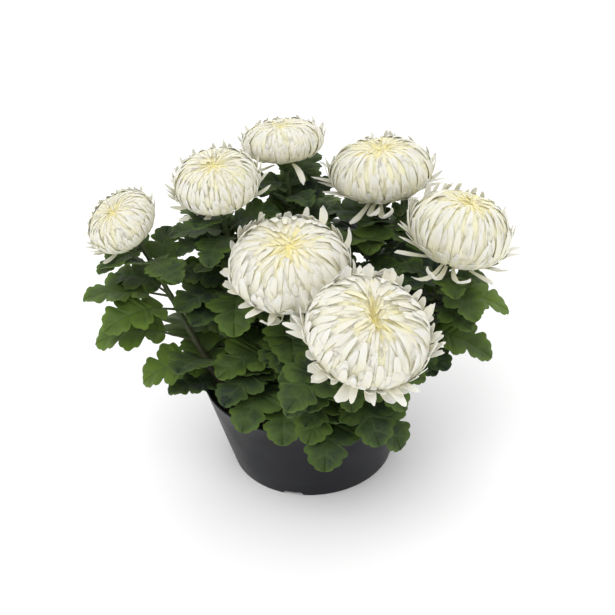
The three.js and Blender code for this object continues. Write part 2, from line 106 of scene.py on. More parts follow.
Head = namedtuple("Head", "centre tilt turn radius above below")
Plant = namedtuple("Plant", "foot leave back shift filling head")
Leaf = namedtuple("Leaf", "stem at turn rise droop stalk size roll tint small", defaults=(0.5, False))

# Each stem: where it stands, how its curve leaves the soil and meets the head, and its filling leaves.
# Each head: where its middle is, how it leans, its radius, and its height above and below the middle.
PLANTS = (
    Plant((-46, -30), (-34, -14, 38), 48, (6, -16, -10), 2, Head((-152, 20, 239), 28, 205, 31, 19, 21)),
    Plant((-42, 18), (-8, 4, 80), 60, (0, 0, 0), 4, Head((-69, 36, 264), 8, 240, 37, 24, 24)),
    Plant((-10, 50), (-2, 8, 85), 66, (0, 0, 0), 3, Head((-11, 95, 267), 12, 105, 36, 20, 20)),
    Plant((34, 40), (4, 5, 70), 62, (0, 0, 0), 4, Head((74, 80, 240), 6, 110, 46, 29, 25)),
    Plant((52, 2), (14, 2, 55), 58, (0, 0, 0), 3, Head((135, 2, 221), 18, 20, 44, 37, 30)),
    Plant((-10, -8), (-2, -4, 60), 50, (0, 0, 0), 0, Head((-11, -22, 212), 12, 275, 51, 31, 25)),
    Plant((26, -40), (2, -10, 48), 40, (0, 0, 0), 2, Head((49, -110, 201), 24, 306, 51, 34, 25)),
)

# The leaves that show outermost. at: share of the way up the stem. turn: direction in degrees from +X.
# rise: slope of the stalk. droop: how much the slope falls along the blade. roll: turn about the midrib.
# tint: from 0, dark blue-green, to 1, light yellow-green, partly the leaf's own colour and partly painted
# light:
# high on lit outer leaves, and low, as painted shade, on leaves deep in the foliage.
OUTER_LEAVES = (
    Leaf(1, 0.52, 186, 25, 60, 30, 62, -10, 1.0),
    Leaf(1, 0.4, 190, 25, 75, 8, 58, -10, 0.85),
    Leaf(1, 0.72, 188, 20, 40, 22, 56, 0, 0.55),
    Leaf(1, 0.86, 210, 38, 45, 8, 46, 10, 0.3),
    Leaf(1, 0.8, 80, 50, 30, 6, 44, 0, 0.3),
    Leaf(1, 0.3, 200, 30, 50, 6, 46, 0, 0.3),
    Leaf(2, 0.66, 130, 40, 50, 10, 60, 0, 0.2),
    Leaf(2, 0.36, 165, 50, 30, 18, 62, -20, 0.35),
    Leaf(2, 0.5, 266, 30, 75, 26, 58, 0, 0.35),
    Leaf(6, 0.62, 270, 38, 75, 18, 56, 0, 0.35),
    Leaf(6, 0.4, 216, 32, 62, 26, 62, 0, 0.3),
    Leaf(6, 0.22, 238, 30, 70, 30, 62, 0, 0.2),
    Leaf(6, 0.48, 260, 55, 105, 10, 56, 0, 0.3),
    Leaf(6, 0.3, 225, 45, 55, 14, 58, 0, 0.35),
    Leaf(7, 0.34, 240, 30, 80, 14, 60, 0, 0.35),
    Leaf(7, 0.25, 255, 20, 85, 25, 62, 0, 0.15),
    Leaf(7, 0.3, 310, 20, 90, 22, 60, 0, 0.25),
    Leaf(7, 0.45, 290, 25, 90, 22, 60, 0, 0.12),
    Leaf(7, 0.55, 220, 25, 60, 18, 54, 0, 0.25),
    Leaf(5, 0.8, 352, 15, 60, 10, 60, 0, 0.85),
    Leaf(5, 0.58, 336, 0, 35, 14, 62, 0, 0.75),
    Leaf(5, 0.25, 315, 50, 80, 10, 52, 0, 0.3),
    Leaf(3, 0.8, 208, 60, 40, 6, 50, 0, 0.4),
    Leaf(3, 0.66, 225, 65, 55, 6, 54, 0, 0.7),
    Leaf(3, 0.74, 70, 45, 45, 10, 56, 0, 0.5),
    Leaf(3, 0.65, 110, 30, 80, 14, 62, 0, 0.5),
    Leaf(3, 0.55, 55, 40, 50, 18, 62, 0, 0.5),
    Leaf(4, 0.72, 230, 55, 55, 12, 58, 0, 0.3),
    Leaf(4, 0.82, 345, 45, 50, 6, 52, 0, 0.5),
    Leaf(5, 0.75, 115, 25, 35, 10, 52, 0, 0.5),
    Leaf(1, 0.35, 105, 35, 50, 16, 50, 0, 0.5),
    Leaf(4, 0.68, 110, 35, 50, 12, 52, 0, 0.5),
)

# Small leaves with a place of their own: under the heads, in the gaps and over the pot's rim.
# Their tints are low, as painted shade under the heads and in the gaps.
EDGE_LEAVES = (
    Leaf(1, 0.95, 215, 10, 40, 8, 40, 10, 0.5),
    Leaf(1, 0.93, 180, 25, 40, 8, 44, 0, 0.2),
    Leaf(2, 0.5, 205, 30, 50, 22, 54, 0, 0.15),
    Leaf(2, 0.4, 215, 40, 60, 24, 54, 0, 0.15),
    Leaf(1, 0.9, 300, 20, 50, 8, 42, 0, 0.35),
    Leaf(2, 0.86, 190, 25, 50, 8, 44, 0, 0.2),
    Leaf(2, 0.84, 250, 20, 60, 8, 42, 0, 0.3),
    Leaf(3, 0.9, 10, 35, 40, 8, 44, 0, 0.3),
    Leaf(3, 0.9, 190, 35, 40, 8, 44, 0, 0.2),
    Leaf(4, 0.9, 165, 20, 40, 12, 46, 0, 0.3),
    Leaf(4, 0.9, 250, 15, 50, 8, 44, 0, 0.35),
    Leaf(4, 0.88, 310, 15, 50, 10, 46, 0, 0.3),
    Leaf(5, 0.92, 190, 20, 50, 8, 44, 0, 0.2),
    Leaf(5, 0.9, 300, 10, 50, 8, 46, 0, 0.4),
    Leaf(7, 0.8, 190, 15, 40, 14, 50, 0, 0.3),
    Leaf(7, 0.8, 225, 5, 40, 10, 48, 0, 0.4),
    Leaf(7, 0.75, 350, 15, 50, 14, 50, 0, 0.4),
    Leaf(7, 0.8, 320, 0, 50, 10, 48, 0, 0.45),
    Leaf(6, 0.85, 260, 0, 50, 8, 46, 0, 0.3),
    Leaf(6, 0.25, 242, 20, 60, 50, 58, 0, 0.3),
    Leaf(6, 0.2, 262, 20, 60, 52, 58, 0, 0.35),
    Leaf(6, 0.3, 228, 25, 60, 44, 56, 0, 0.15),
    Leaf(7, 0.15, 240, 30, 75, 26, 54, 0, 0.3),
    Leaf(1, 0.22, 285, 30, 70, 20, 54, 0, 0.15),
    Leaf(6, 0.16, 215, 50, 70, 24, 54, 0, 0.1),
)
FILLING_FROM = 0.24
FILLING_TO = 0.8
FILLING_STEM_TURN = 60
# Tints of the filling leaves, low on most stems as painted shade, since these leaves stand inside the
# foliage.
FILLING_SHADED_TINTS = (0.65, 0.2, 0.2, 0.2, 0.2, 0.2, 0.2)  # for each stem
SMALL_LEAVES = (5, 20, 22, 24, 22, 20, 20)  # small leaves that each stem asks for, between the large ones
SMALL_FROM = 0.2
SMALL_TO = 0.95
SMALL_STEM_TURN = 40
SMALL_LOW_SIZE = 56  # of the small leaves near the soil
SMALL_HIGH_SIZE = 36  # of those near the head

# The least distance from a leaf to the leaves of other stems and of its own, and to other stems, heads, pot
# and soil.
Room = namedtuple("Room", "leaf own_leaf stem head pot soil")
MAIN_ROOM = Room(8, 5, 9.5, 7, 4, 5)
SMALL_ROOM = Room(2, 1.5, 3.5, 2.5, 2, 2)
RIM_ZONE = 15  # how far inside the pot's rim a low leaf counts as touching the pot
SWINGS = (0, 15, -15, 30, -30, 45, -45, 60, -60, 80, -80, 100, -100)  # turns that a leaf tries in order
LIFTS = (0, 14, -14, 28)  # and the rises that it tries them at
STEM_POINTS = 25  # along each stem, to keep leaves clear of it
STEM_POINTS_BELOW = 4  # how many of them lie in or near the soil and don't count

# The edge of a half leaf from its foot to its tip: how far along, how far out, and from how far along the
# midrib the blade runs to it, as shares of the leaf's length.
LEAF_EDGE = (
    (-0.05, 0.04, 0), (-0.03, 0.13, 0), (0.03, 0.24, 0.01), (0.1, 0.33, 0.04), (0.16, 0.335, 0.07),
    (0.185, 0.28, 0.09), (0.22, 0.27, 0.11), (0.25, 0.21, 0.13), (0.27, 0.155, 0.15), (0.3, 0.22, 0.17),
    (0.325, 0.33, 0.19), (0.37, 0.39, 0.22), (0.415, 0.37, 0.25), (0.45, 0.4, 0.28), (0.5, 0.45, 0.3),
    (0.555, 0.43, 0.33), (0.575, 0.37, 0.35), (0.61, 0.35, 0.38), (0.63, 0.28, 0.4), (0.625, 0.185, 0.43),
    (0.67, 0.25, 0.5), (0.72, 0.305, 0.55), (0.775, 0.29, 0.6), (0.8, 0.235, 0.65), (0.85, 0.24, 0.7),
    (0.905, 0.205, 0.76), (0.93, 0.14, 0.82), (0.965, 0.12, 0.88), (0.99, 0.06, 0.95), (1, 0, 1),
)
LEAF_VEINS = (4, 11, 14, 21, 25)  # the points of the edge where side veins end
LEAF_FINENESS = {False: (12, 2), True: (8, 1)}  # by small: columns, and rows to each point of the edge
LEAF_VALUES = ("vein", "edge", "tint", "under")
LEAF_THICKNESS = 0.55
LEAF_CROWDING = 1.4  # above 1, the columns of a blade lie closer together near the midrib
MIDRIB_WIDTH = 0.06
LEAF_QUILT = 0.012  # how far the blade rises between its veins, as a share of the leaf's length
LEAF_GROOVE = 0.005  # how far its veins lie in it

# Where a leaf is tried for room: along it, and out to its sides, but less far out at its tip.
PROBES_ALONG = (0.05, 0.25, 0.45, 0.65, 0.85, 1)
PROBES_OUT = (-1, -0.5, 0, 0.5, 1)
PROBE_REACH = 0.38
PROBE_TIP_REACH = 0.14
PROBES_OF_STALK = (0.5, 0.8)

# A leaf's stalk and midrib are one rod: its points along the blade, how far it lies under it, and its radii.
MIDRIB_POINTS = (0.06, 0.2, 0.4, 0.6, 0.8, 0.93)
MIDRIB_DROP = 0.2
STALK_SHARES = (0, 0.1, 0.4, 1)
STALK_RADII = (1.5, 1.1, 0.85, 0.25)

STEM_RIBS = 5
STEM_RIB_DEPTH = 0.07
JOINT_SWELLING = 0.22  # how much thicker a stem is where a leaf joins it
JOINT_REACH = 0.012  # how far along the stem that reaches, as a share of it

# ------------------------------------------------------------------ small helpers


def unit(vector):
    return vector / np.linalg.norm(vector)


def between(low, high, share):
    return low + (high - low) * share


def smooth(low, high, value):
    share = np.clip((value - low) / (high - low), 0, 1)
    return share * share * (3 - 2 * share)


class Dice:
    """Seeded draws from 0 to 1, the same as the CAD source makes."""

    def __init__(self, seed):
        self.state = seed

    def __call__(self, low=0.0, high=1.0):
        self.state = (self.state * 1664525 + 1013904223) % 2**32
        return low + (high - low) * self.state / 2**32


def blank(values):
    """An empty bmesh whose points can carry these values."""
    bm = bmesh.new()
    for value in values:
        bm.verts.layers.float.new(value)
    return bm


class Form:
    """A small mesh that is bent into many places. Its points keep their own flat coordinates."""

    def __init__(self, name, bm, values):
        for value in values:
            bm.verts.layers.float.new(value)
        self.mesh = bpy.data.meshes.new(name)
        bm.to_mesh(self.mesh)
        bm.free()
        self.count = len(self.mesh.vertices)
        places = np.empty(self.count * 3, np.float32)
        self.mesh.vertices.foreach_get("co", places)
        self.x, self.y, self.z = places.reshape(-1, 3).T.astype(float)

    def add_to(self, bm, places, material, **values):
        """Adds the form to a bmesh with its points at these places, in millimetres."""
        self.mesh.vertices.foreach_set("co", (places * MM).astype(np.float32).ravel())
        for name, value in values.items():
            filled = np.full(self.count, value, np.float32)
            self.mesh.attributes[name].data.foreach_set("value", filled)
        slots = np.full(len(self.mesh.polygons), material, np.int32)
        self.mesh.polygons.foreach_set("material_index", slots)
        bm.from_mesh(self.mesh)


def sheet_form(name, columns, rows, values):
    """A thin closed sheet: x from -0.5 to 0.5 across, y along, z 0 on its face and below 0 on its back."""
    bm = bmesh.new()
    bmesh.ops.create_grid(bm, x_segments=columns, y_segments=rows, size=0.5)
    bmesh.ops.solidify(bm, geom=bm.faces[:], thickness=0.01)
    return Form(name, bm, values)


def rod_form(name, sides, steps, values):
    """A closed rod of radius 1 whose z runs from -0.5 to 0.5."""
    bm = bmesh.new()
    bmesh.ops.create_cone(bm, cap_ends=True, segments=sides, radius1=1, radius2=1, depth=1)
    lengthwise = [edge for edge in bm.edges if abs(edge.verts[0].co.z - edge.verts[1].co.z) > 0.5]
    bmesh.ops.subdivide_edges(bm, edges=lengthwise, cuts=steps - 1, use_grid_fill=True)
    return Form(name, bm, values)


def rod_places(form, path, radii):
    """The places of a rod's points along a path. Path and radii are functions of shares from 0 to 1."""
    share = form.z + 0.5
    step = 0.004
    centre = path(share)
    direction = path(np.minimum(share + step, 1)) - path(np.maximum(share - step, 0))
    direction /= np.linalg.norm(direction, axis=1, keepdims=True)
    chord = unit(path(np.array([1.0]))[0] - path(np.array([0.0]))[0])
    reference = np.array([0.0, 0.0, 1.0]) if abs(chord[2]) < 0.8 else np.array([0.0, 1.0, 0.0])
    side = np.cross(reference, direction)
    side /= np.linalg.norm(side, axis=1, keepdims=True)
    up = np.cross(direction, side)
    radius = radii(share)[:, None]
    return centre + radius * (form.x[:, None] * side + form.y[:, None] * up)


def polyline(points):
    """A path through points, by shares of its length."""
    points = np.array(points, float)
    lengths = np.concatenate([[0], np.cumsum(np.linalg.norm(np.diff(points, axis=0), axis=1))])

    def path(share):
        length = share * lengths[-1]
        return np.stack([np.interp(length, lengths, axis) for axis in points.T], axis=1)

    return path


def tapering(shares, radii):
    """The radii of a rod, as a function of shares, from its radii at a few of them."""

    def radius_at(share):
        return np.interp(share, shares, radii)

    return radius_at


def bezier(controls, share):
    start, leave, arrive, end = (np.array(point, float) for point in controls)
    t = np.atleast_1d(share)[:, None]
    return (1 - t) ** 3 * start + 3 * (1 - t) ** 2 * t * leave + 3 * (1 - t) * t * t * arrive + t**3 * end


def piece_of(name, bm, materials, node):
    """Makes the finished bmesh an object that stands for a CAD node."""
    mesh = bpy.data.meshes.new(name)
    bm.to_mesh(mesh)
    bm.free()
    for material in materials:
        mesh.materials.append(material)
    mesh.shade_smooth()
    mesh.set_sharp_from_angle(angle=math.radians(SHARP_ANGLE))
    piece = bpy.data.objects.new(name, mesh)
    bpy.context.scene.collection.objects.link(piece)
    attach(piece, BODY)
    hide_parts(node)
    return piece


# ------------------------------------------------------------------ materials


class Finish:
    """A node material under construction, with short calls for its nodes."""

    def __init__(self, name):
        self.material = bpy.data.materials.new(name)
        self.material.use_nodes = True
        self.tree = self.material.node_tree
        self.tree.nodes.clear()
        self.shader = self.add("ShaderNodeBsdfPrincipled")
        output = self.add("ShaderNodeOutputMaterial")
        self.tree.links.new(self.shader.outputs["BSDF"], output.inputs["Surface"])
        self.place = self.add("ShaderNodeTexCoord").outputs["Object"]

    def add(self, kind, inputs=None, **settings):
        node = self.tree.nodes.new(kind)
        for name, value in settings.items():
            setattr(node, name, value)
        for name, value in (inputs or {}).items():
            if isinstance(value, bpy.types.NodeSocket):
                self.tree.links.new(value, node.inputs[name])
            else:
                node.inputs[name].default_value = value
        return node

    def set(self, **values):
        """Sets the shader's own sockets: Base_Color stands for Base Color."""
        for name, value in values.items():
            socket = self.shader.inputs[name.replace("_", " ")]
            if isinstance(value, bpy.types.NodeSocket):
                self.tree.links.new(value, socket)
            else:
                socket.default_value = value

    def value(self, name):
        return self.add("ShaderNodeAttribute", attribute_name=name).outputs["Fac"]

    def mix(self, factor, first, second, blend="MIX"):
        node = self.add("ShaderNodeMix", {0: factor, 6: first, 7: second}, data_type="RGBA", blend_type=blend)
        return node.outputs[2]

    def math(self, operation, first, second=0.0, clamp=False):
        node = self.add("ShaderNodeMath", {0: first, 1: second}, operation=operation, use_clamp=clamp)
        return node.outputs[0]

    def times(self, first, second):
        return self.math("MULTIPLY", first, second)

    def range(self, value, low, high, to_low=0.0, to_high=1.0):
        inputs = {"Value": value, "From Min": low, "From Max": high, "To Min": to_low, "To Max": to_high}
        return self.add("ShaderNodeMapRange", inputs, interpolation_type="SMOOTHSTEP").outputs[0]

    def noise(self, scale, detail=3.0, roughness=0.5, stretch=None):
        place = self.place
        if stretch:
            place = self.add("ShaderNodeMapping", {"Vector": place, "Scale": stretch}).outputs[0]
        inputs = {"Vector": place, "Scale": scale, "Detail": detail, "Roughness": roughness}
        return self.add("ShaderNodeTexNoise", inputs).outputs["Fac"]

    def bump(self, height, strength, distance):
        inputs = {"Height": height, "Strength": strength, "Distance": distance}
        self.set(Normal=self.add("ShaderNodeBump", inputs).outputs[0])


def rgba(colour):
    return (*colour[:3], 1.0)


def scaled(colour, factor):
    return rgba([channel * factor for channel in colour])


def pot_plastic(colour, worn):
    """Satin dark plastic with a fine moulded grain, faint scuffs and a paler, rubbed rim and foot."""
    finish = Finish("pot_plastic")
    height = finish.add("ShaderNodeSeparateXYZ", {0: finish.place}).outputs["Z"]
    cloud = finish.noise(9, 4)
    scuff = finish.range(finish.noise(16, 6, 0.7, (1, 1, 7)), 0.58, 0.72)
    rim = finish.range(height, (POT_HEIGHT - 3) * MM, POT_HEIGHT * MM)
    foot = finish.range(height, 3 * MM, 0.0)
    rubbed = finish.times(finish.math("ADD", rim, foot, True), finish.range(finish.noise(120), 0.3, 0.7))
    base = finish.mix(finish.range(cloud, 0.3, 0.7), scaled(colour, 0.85), scaled(colour, 1.15))
    base = finish.mix(finish.times(scuff, 0.25), base, rgba(worn))
    base = finish.mix(finish.times(rubbed, 0.5), base, rgba(worn))
    finish.set(Base_Color=base, Roughness=finish.range(finish.noise(30, 5), 0.2, 0.8, 0.36, 0.5))
    finish.set(IOR=1.5, Specular_IOR_Level=0.22)
    grain = finish.math("ADD", finish.noise(2600, 2), finish.times(finish.noise(60, 3), 0.6))
    finish.bump(grain, 0.12, 0.3 * MM)
    return finish.material


def potting_soil(dark, light):
    """Dark moist peat: crumbs of several browns, with a rough broken surface."""
    finish = Finish("potting_soil")
    crumb = finish.noise(420, 6, 0.7)
    tint = finish.value("tint")
    brown = finish.mix(finish.range(crumb, 0.35, 0.7), rgba(dark), rgba(light))
    brown = finish.mix(finish.times(tint, 0.7), brown, scaled(light, 1.7))
    finish.set(Base_Color=brown, Roughness=0.95)
    finish.bump(finish.math("ADD", crumb, finish.noise(1500, 4, 0.7)), 0.9, 1.2 * MM)
    return finish.material


def leaf_green(dark, light, vein_colour, under_colour):
    """A matt leaf: impressed paler veins, a fine net between them, a lighter edge and a greyer underside."""
    finish = Finish("leaf_green")
    vein = finish.value("vein")
    edge = finish.range(finish.value("edge"), 0.55, 1.0)
    patch = finish.range(finish.noise(45, 4, 0.6), 0.3, 0.72)
    # Lightness from each leaf's tint: the leaf's own colour, with painted shade on leaves inside the foliage
    # and painted light on outer ones.
    lightness = finish.math("ADD", finish.value("tint"), finish.times(edge, 0.32))
    blotch = finish.times(finish.math("SUBTRACT", patch, 0.5), 0.35)
    lightness = finish.math("ADD", lightness, blotch, True)
    green = finish.mix(lightness, rgba(dark), rgba(light))
    inputs = {"Vector": finish.place, "Scale": 330.0}
    cells = finish.add("ShaderNodeTexVoronoi", inputs, feature="DISTANCE_TO_EDGE")
    net = finish.range(cells.outputs["Distance"], 0.0, 0.16)
    green = finish.mix(finish.times(finish.math("SUBTRACT", 1.0, net), 0.16), green, rgba(vein_colour))
    green = finish.mix(finish.times(vein, 0.5), green, rgba(vein_colour))
    green = finish.mix(finish.times(finish.value("under"), 0.75), green, rgba(under_colour))
    finish.set(Base_Color=green, Roughness=finish.range(patch, 0.0, 1.0, 0.55, 0.65), Specular_IOR_Level=0.22)
    finish.set(Subsurface_Weight=0.12, Subsurface_Scale=1.5 * MM, Subsurface_Radius=(0.5, 1.0, 0.2))
    height = finish.math("ADD", finish.times(net, 0.5), finish.times(vein, -1.2))
    finish.bump(finish.math("ADD", height, finish.noise(900, 3)), 0.45, 0.5 * MM)
    return finish.material


def stem_green(young, woody):
    """A ribbed stem, green above and browner towards the soil."""
    finish = Finish("stem_green")
    height = finish.add("ShaderNodeSeparateXYZ", {0: finish.place}).outputs["Z"]
    streak = finish.noise(260, 4, 0.6, (1, 1, 0.12))
    age = finish.math("ADD", finish.range(height, 170 * MM, 70 * MM), finish.times(streak, 0.4), True)
    finish.set(Base_Color=finish.mix(age, rgba(young), rgba(woody)), Roughness=0.6, Specular_IOR_Level=0.4)
    finish.bump(finish.math("ADD", streak, finish.noise(1400, 3)), 0.4, 0.4 * MM)
    return finish.material


def petal_white(white, cream, depth, heart):
    """Thin matt petals: white tips, creamy root, painted cream shade at the edges, yellow heart, fine
    lengthwise ribs.
    """
    finish = Finish("petal_white")
    along = finish.value("along")
    across = finish.value("across")
    mottled = finish.math("ADD", along, finish.times(finish.noise(160, 3), 0.12))
    colour = finish.mix(finish.range(mottled, 0.15, 0.68), rgba(depth), rgba(cream))
    colour = finish.mix(finish.range(mottled, 0.62, 1.0), colour, rgba(white))
    # The petals' edges are mixed towards cream: painted shade where neighbouring petals overlap.
    edge = finish.range(finish.math("ABSOLUTE", across), 0.35, 1.0)
    colour = finish.mix(finish.times(edge, 0.45), colour, rgba(cream))
    inside = finish.times(finish.value("heart"), finish.range(mottled, 1.3, 0.6, 0.55, 1.0))
    colour = finish.mix(inside, colour, rgba(heart))
    streak = finish.math("SINE", finish.times(across, 17.0))
    veined = finish.times(finish.range(streak, -1.0, 1.0), 0.1)
    colour = finish.mix(veined, colour, rgba(cream))
    shade = finish.times(finish.value("tint"), 0.3)
    colour = finish.mix(shade, colour, rgba(cream))
    finish.set(Base_Color=colour, Roughness=0.6, Specular_IOR_Level=0.2)
    finish.set(Subsurface_Weight=0.5, Subsurface_Scale=1.2 * MM, Subsurface_Radius=(0.7, 0.76, 1.0))
    finish.bump(finish.math("ADD", streak, finish.noise(500, 3)), 0.25, 0.35 * MM)
    return finish.material


def studio_floor(colour):
    """Matt seamless paper."""
    finish = Finish("studio_floor")
    tone = finish.mix(finish.noise(3, 2), rgba(colour), scaled(colour, 0.995))
    finish.set(Base_Color=tone, Roughness=0.9, Specular_IOR_Level=0.1)
    return finish.material


# ------------------------------------------------------------------ pot and soil


def pot_radius(height):
    return between(POT_FOOT, POT_TOP, height / POT_HEIGHT)


def inner_radius(height):
    return pot_radius(height) - POT_WALL


def spun(profile, steps):
    """A closed solid turned round the Z axis from a profile of [out, up] points, in millimetres."""
    bm = bmesh.new()
    points = [bm.verts.new((out * MM, 0, up * MM)) for out, up in profile]
    edges = [bm.edges.new(pair) for pair in zip(points, points[1:])]
    bmesh.ops.spin(
        bm,
        geom=points + edges,
        cent=(0, 0, 0),
        axis=(0, 0, 1),
        angle=2 * math.pi,
        steps=steps,
        use_merge=True,
    )
    bmesh.ops.remove_doubles(bm, verts=bm.verts, dist=0.01 * MM)
    bmesh.ops.recalc_face_normals(bm, faces=bm.faces)
    return bm


def rounded(centre, radius, start, end, steps=5):
    """Points on an arc, angles in degrees from the outward direction."""
    angles = [math.radians(between(start, end, i / steps)) for i in range(steps + 1)]
    return [(centre[0] + radius * math.cos(a), centre[1] + radius * math.sin(a)) for a in angles]


def drain_notches():
    """The object that cuts the drain notches out of the foot."""
    bm = bmesh.new()
    for turn in DRAIN_TURNS:
        stand = Matrix.Rotation(math.radians(turn), 4, "Z") @ Matrix.Translation((POT_FOOT * MM, 0, 0))
        size = Matrix.Diagonal((2 * DRAIN_DEPTH * MM, DRAIN_WIDTH * MM, 2 * DRAIN_HEIGHT * MM, 1))
        cube = bmesh.ops.create_cube(bm, size=1, matrix=stand @ size)
        edges = {edge for vert in cube["verts"] for edge in vert.link_edges}
        top = [edge for edge in edges if min(vert.co.z for vert in edge.verts) > 0]
        bmesh.ops.bevel(
            bm, geom=top, offset=DRAIN_CORNER * MM, segments=4, affect="EDGES", profile=0.5, material=-1
        )
    cutter = bpy.data.objects.new("notches", bpy.data.meshes.new("notches"))
    bm.to_mesh(cutter.data)
    bm.free()
    bpy.context.scene.collection.objects.link(cutter)
    return cutter


def make_pot(settings):
    """A turned pot with a rounded rim, a ring to stand on and drain notches."""
    lip = POT_WALL / 2
    corner = POT_FLOOR + POT_CORNER
    profile = [(0, POT_HOLLOW), (POT_FOOT - POT_RING - 1, POT_HOLLOW), (POT_FOOT - POT_RING, 0)]
    profile += rounded((POT_FOOT - POT_EDGE, POT_EDGE), POT_EDGE, -90, -10)
    profile += [(pot_radius(z), z) for z in (*POT_LEVELS, POT_HEIGHT - 2 * lip)]
    profile += rounded((POT_TOP - lip, POT_HEIGHT - lip), lip, 0, 180, 8)
    profile += [(inner_radius(z), z) for z in reversed(POT_LEVELS)]
    profile += [(inner_radius(corner), corner), (inner_radius(POT_FLOOR) - POT_CORNER, POT_FLOOR)]
    profile += [(0, POT_FLOOR)]
    material = pot_plastic(settings.colour, settings.worn)
    pot = piece_of("nursery_pot", spun(profile, POT_STEPS), [material], "pot")

    cutter = drain_notches()
    drain = pot.modifiers.new("drain", "BOOLEAN")
    drain.object = cutter
    drain.operation = "DIFFERENCE"
    drain.solver = "EXACT"
    notched = bpy.data.meshes.new_from_object(pot.evaluated_get(bpy.context.evaluated_depsgraph_get()))
    pot.modifiers.clear()
    pot.data = notched
    bpy.data.objects.remove(cutter)
    pot.data.set_sharp_from_angle(angle=math.radians(POT_SHARP_ANGLE))


def soil_height(x, y):
    """The lumpy top of the soil, as in the CAD model."""
    out = np.hypot(x, y) / pot_radius(SOIL_TOP)
    lumps = np.sin(x * 0.13 + 1.1) * np.cos(y * 0.11) + 0.6 * np.sin(x * 0.31 - y * 0.27)
    return SOIL_TOP - SOIL_EDGE_DROP * out**3 + 0.5 * SOIL_LUMP * lumps * (1 - out**4)


def soil_edge(height):
    return inner_radius(height) - SOIL_SIDE_GAP


def soil_body(top, roll):
    """The block of soil, whose flat top is raised into lumps and grains."""
    bottom = POT_FLOOR + SOIL_FLOOR_GAP
    profile = [(0, bottom), (soil_edge(bottom), bottom), (soil_edge(SOIL_MIDDLE), SOIL_MIDDLE)]
    profile += [(soil_edge(top) * (1 - ring / SOIL_RINGS), top) for ring in range(SOIL_RINGS + 1)]
    bm = spun(profile, SOIL_STEPS)
    for vert in bm.verts:
        if vert.co.z > (top - 1) * MM:
            x, y = vert.co.x / MM, vert.co.y / MM
            fine = 0.5 * math.sin(x * 1.3 + 2 * math.sin(y * 0.9)) * math.sin(y * 1.1 + math.sin(x * 0.7))
            vert.co.z = (soil_height(x, y) + fine + roll(-SOIL_GRAIN, SOIL_GRAIN)) * MM
    bm.verts.layers.float.new("tint")
    return bm


def add_crumbs(bm, reach, roll):
    """Loose crumbs of many sizes, spread evenly over the soil by the golden angle."""
    ball = bmesh.new()
    bmesh.ops.create_icosphere(ball, subdivisions=1, radius=1)
    crumb = Form("crumb", ball, ("tint",))
    for i in range(CRUMBS):
        out = reach * math.sqrt((i + 0.5) / CRUMBS)
        turn = math.radians(GOLDEN_TURN * i) + roll(-0.1, 0.1)
        x, y = out * math.cos(turn), out * math.sin(turn)
        size = CRUMB_SIZE + CRUMB_SIZE_RANGE * roll() ** 3
        spin = Matrix.Rotation(roll(0, 6.3), 3, "Z") @ Matrix.Rotation(roll(0, 6.3), 3, "X")
        shape = np.array(spin) * size * np.array([roll(0.7, 1.4), roll(0.6, 1.1), roll(0.5, 0.9)])
        local = np.stack([crumb.x, crumb.y, crumb.z], axis=1) @ shape.T
        crumb.add_to(bm, local + [x, y, soil_height(x, y) + 0.3 * size], 0, tint=roll() ** 2)


def make_soil(settings):
    """The peat that fills the pot, as one piece with its crumbs."""
    roll = Dice(SEED)
    top = SOIL_TOP - SOIL_EDGE_DROP
    bm = soil_body(top, roll)
    add_crumbs(bm, soil_edge(top) - CRUMB_MARGIN, roll)
    piece_of("potting_soil", bm, [potting_soil(settings.dark, settings.light)], "soil")


# ------------------------------------------------------------------ where stems, heads and leaves are


def head_axis(head):
    tilt, turn = math.radians(head.tilt), math.radians(head.turn)
    return np.array([math.sin(tilt) * math.cos(turn), math.sin(tilt) * math.sin(turn), math.cos(tilt)])


def head_seat(head):
    return np.array(head.centre, float) - SEAT_SHARE * head.below * head_axis(head)


def stem_path(plant):
    """A stem's middle line, as a function of shares from 0, in the soil, to 1, at the calyx."""
    axis = head_axis(plant.head)
    start = np.array([*plant.foot, SOIL_TOP - ROOT_DEPTH], float)
    end = head_seat(plant.head) - CALYX_HEIGHT * axis
    controls = (start, start + plant.leave, end - plant.back * axis + plant.shift, end)

    def path(share):
        return bezier(controls, share)

    return path


def in_head(points, head, margin):
    """Which points lie in a head's rounded form, grown by a margin."""
    from_centre = points - head.centre
    up = from_centre @ head_axis(head)
    out = np.sqrt(np.maximum((from_centre**2).sum(axis=1) - up * up, 0))
    height = np.where(up > 0, head.above, head.below) + margin
    return (out / (head.radius + margin)) ** 2 + (up / height) ** 2 < 1


def leaf_frame(leaf):
    """Where a leaf leaves its stem, where its blade starts, and a function that bends flat points with it."""
    start = stem_path(PLANTS[leaf.stem - 1])(leaf.at)[0]
    rise, roll, turn = (math.radians(angle) for angle in (leaf.rise, leaf.roll, leaf.turn))
    droop = math.radians(max(leaf.droop, 1))
    fold = math.radians(LEAF_FOLD)

    def turned(x, y, z):
        x, y, z = np.broadcast_arrays(x, y, z)
        spun_x = x * math.cos(turn) - y * math.sin(turn)
        spun_y = x * math.sin(turn) + y * math.cos(turn)
        return np.stack([spun_x, spun_y, z], axis=-1)

    base = start + turned(leaf.stalk * math.cos(rise), 0.0, leaf.stalk * math.sin(rise))

    def bend(along, out, up):
        along, out, up = (np.asarray(value, float) for value in (along, out, up))
        slope = rise - droop * np.maximum(along, 0)
        straight = leaf.size * np.minimum(along, 0)
        x = straight * math.cos(rise) + leaf.size * (math.sin(rise) - np.sin(slope)) / droop
        z = straight * math.sin(rise) + leaf.size * (np.cos(slope) - math.cos(rise)) / droop
        across = turned(-np.sin(slope) * math.sin(roll), math.cos(roll), np.cos(slope) * math.sin(roll))
        normal = turned(-np.sin(slope) * math.cos(roll), -math.sin(roll), np.cos(slope) * math.cos(roll))
        lift = np.abs(out) * leaf.size * math.sin(fold) + up
        side = out * leaf.size * math.cos(fold)
        return base + turned(x, 0.0, z) + across * side[..., None] + normal * lift[..., None]

    return start, base, bend


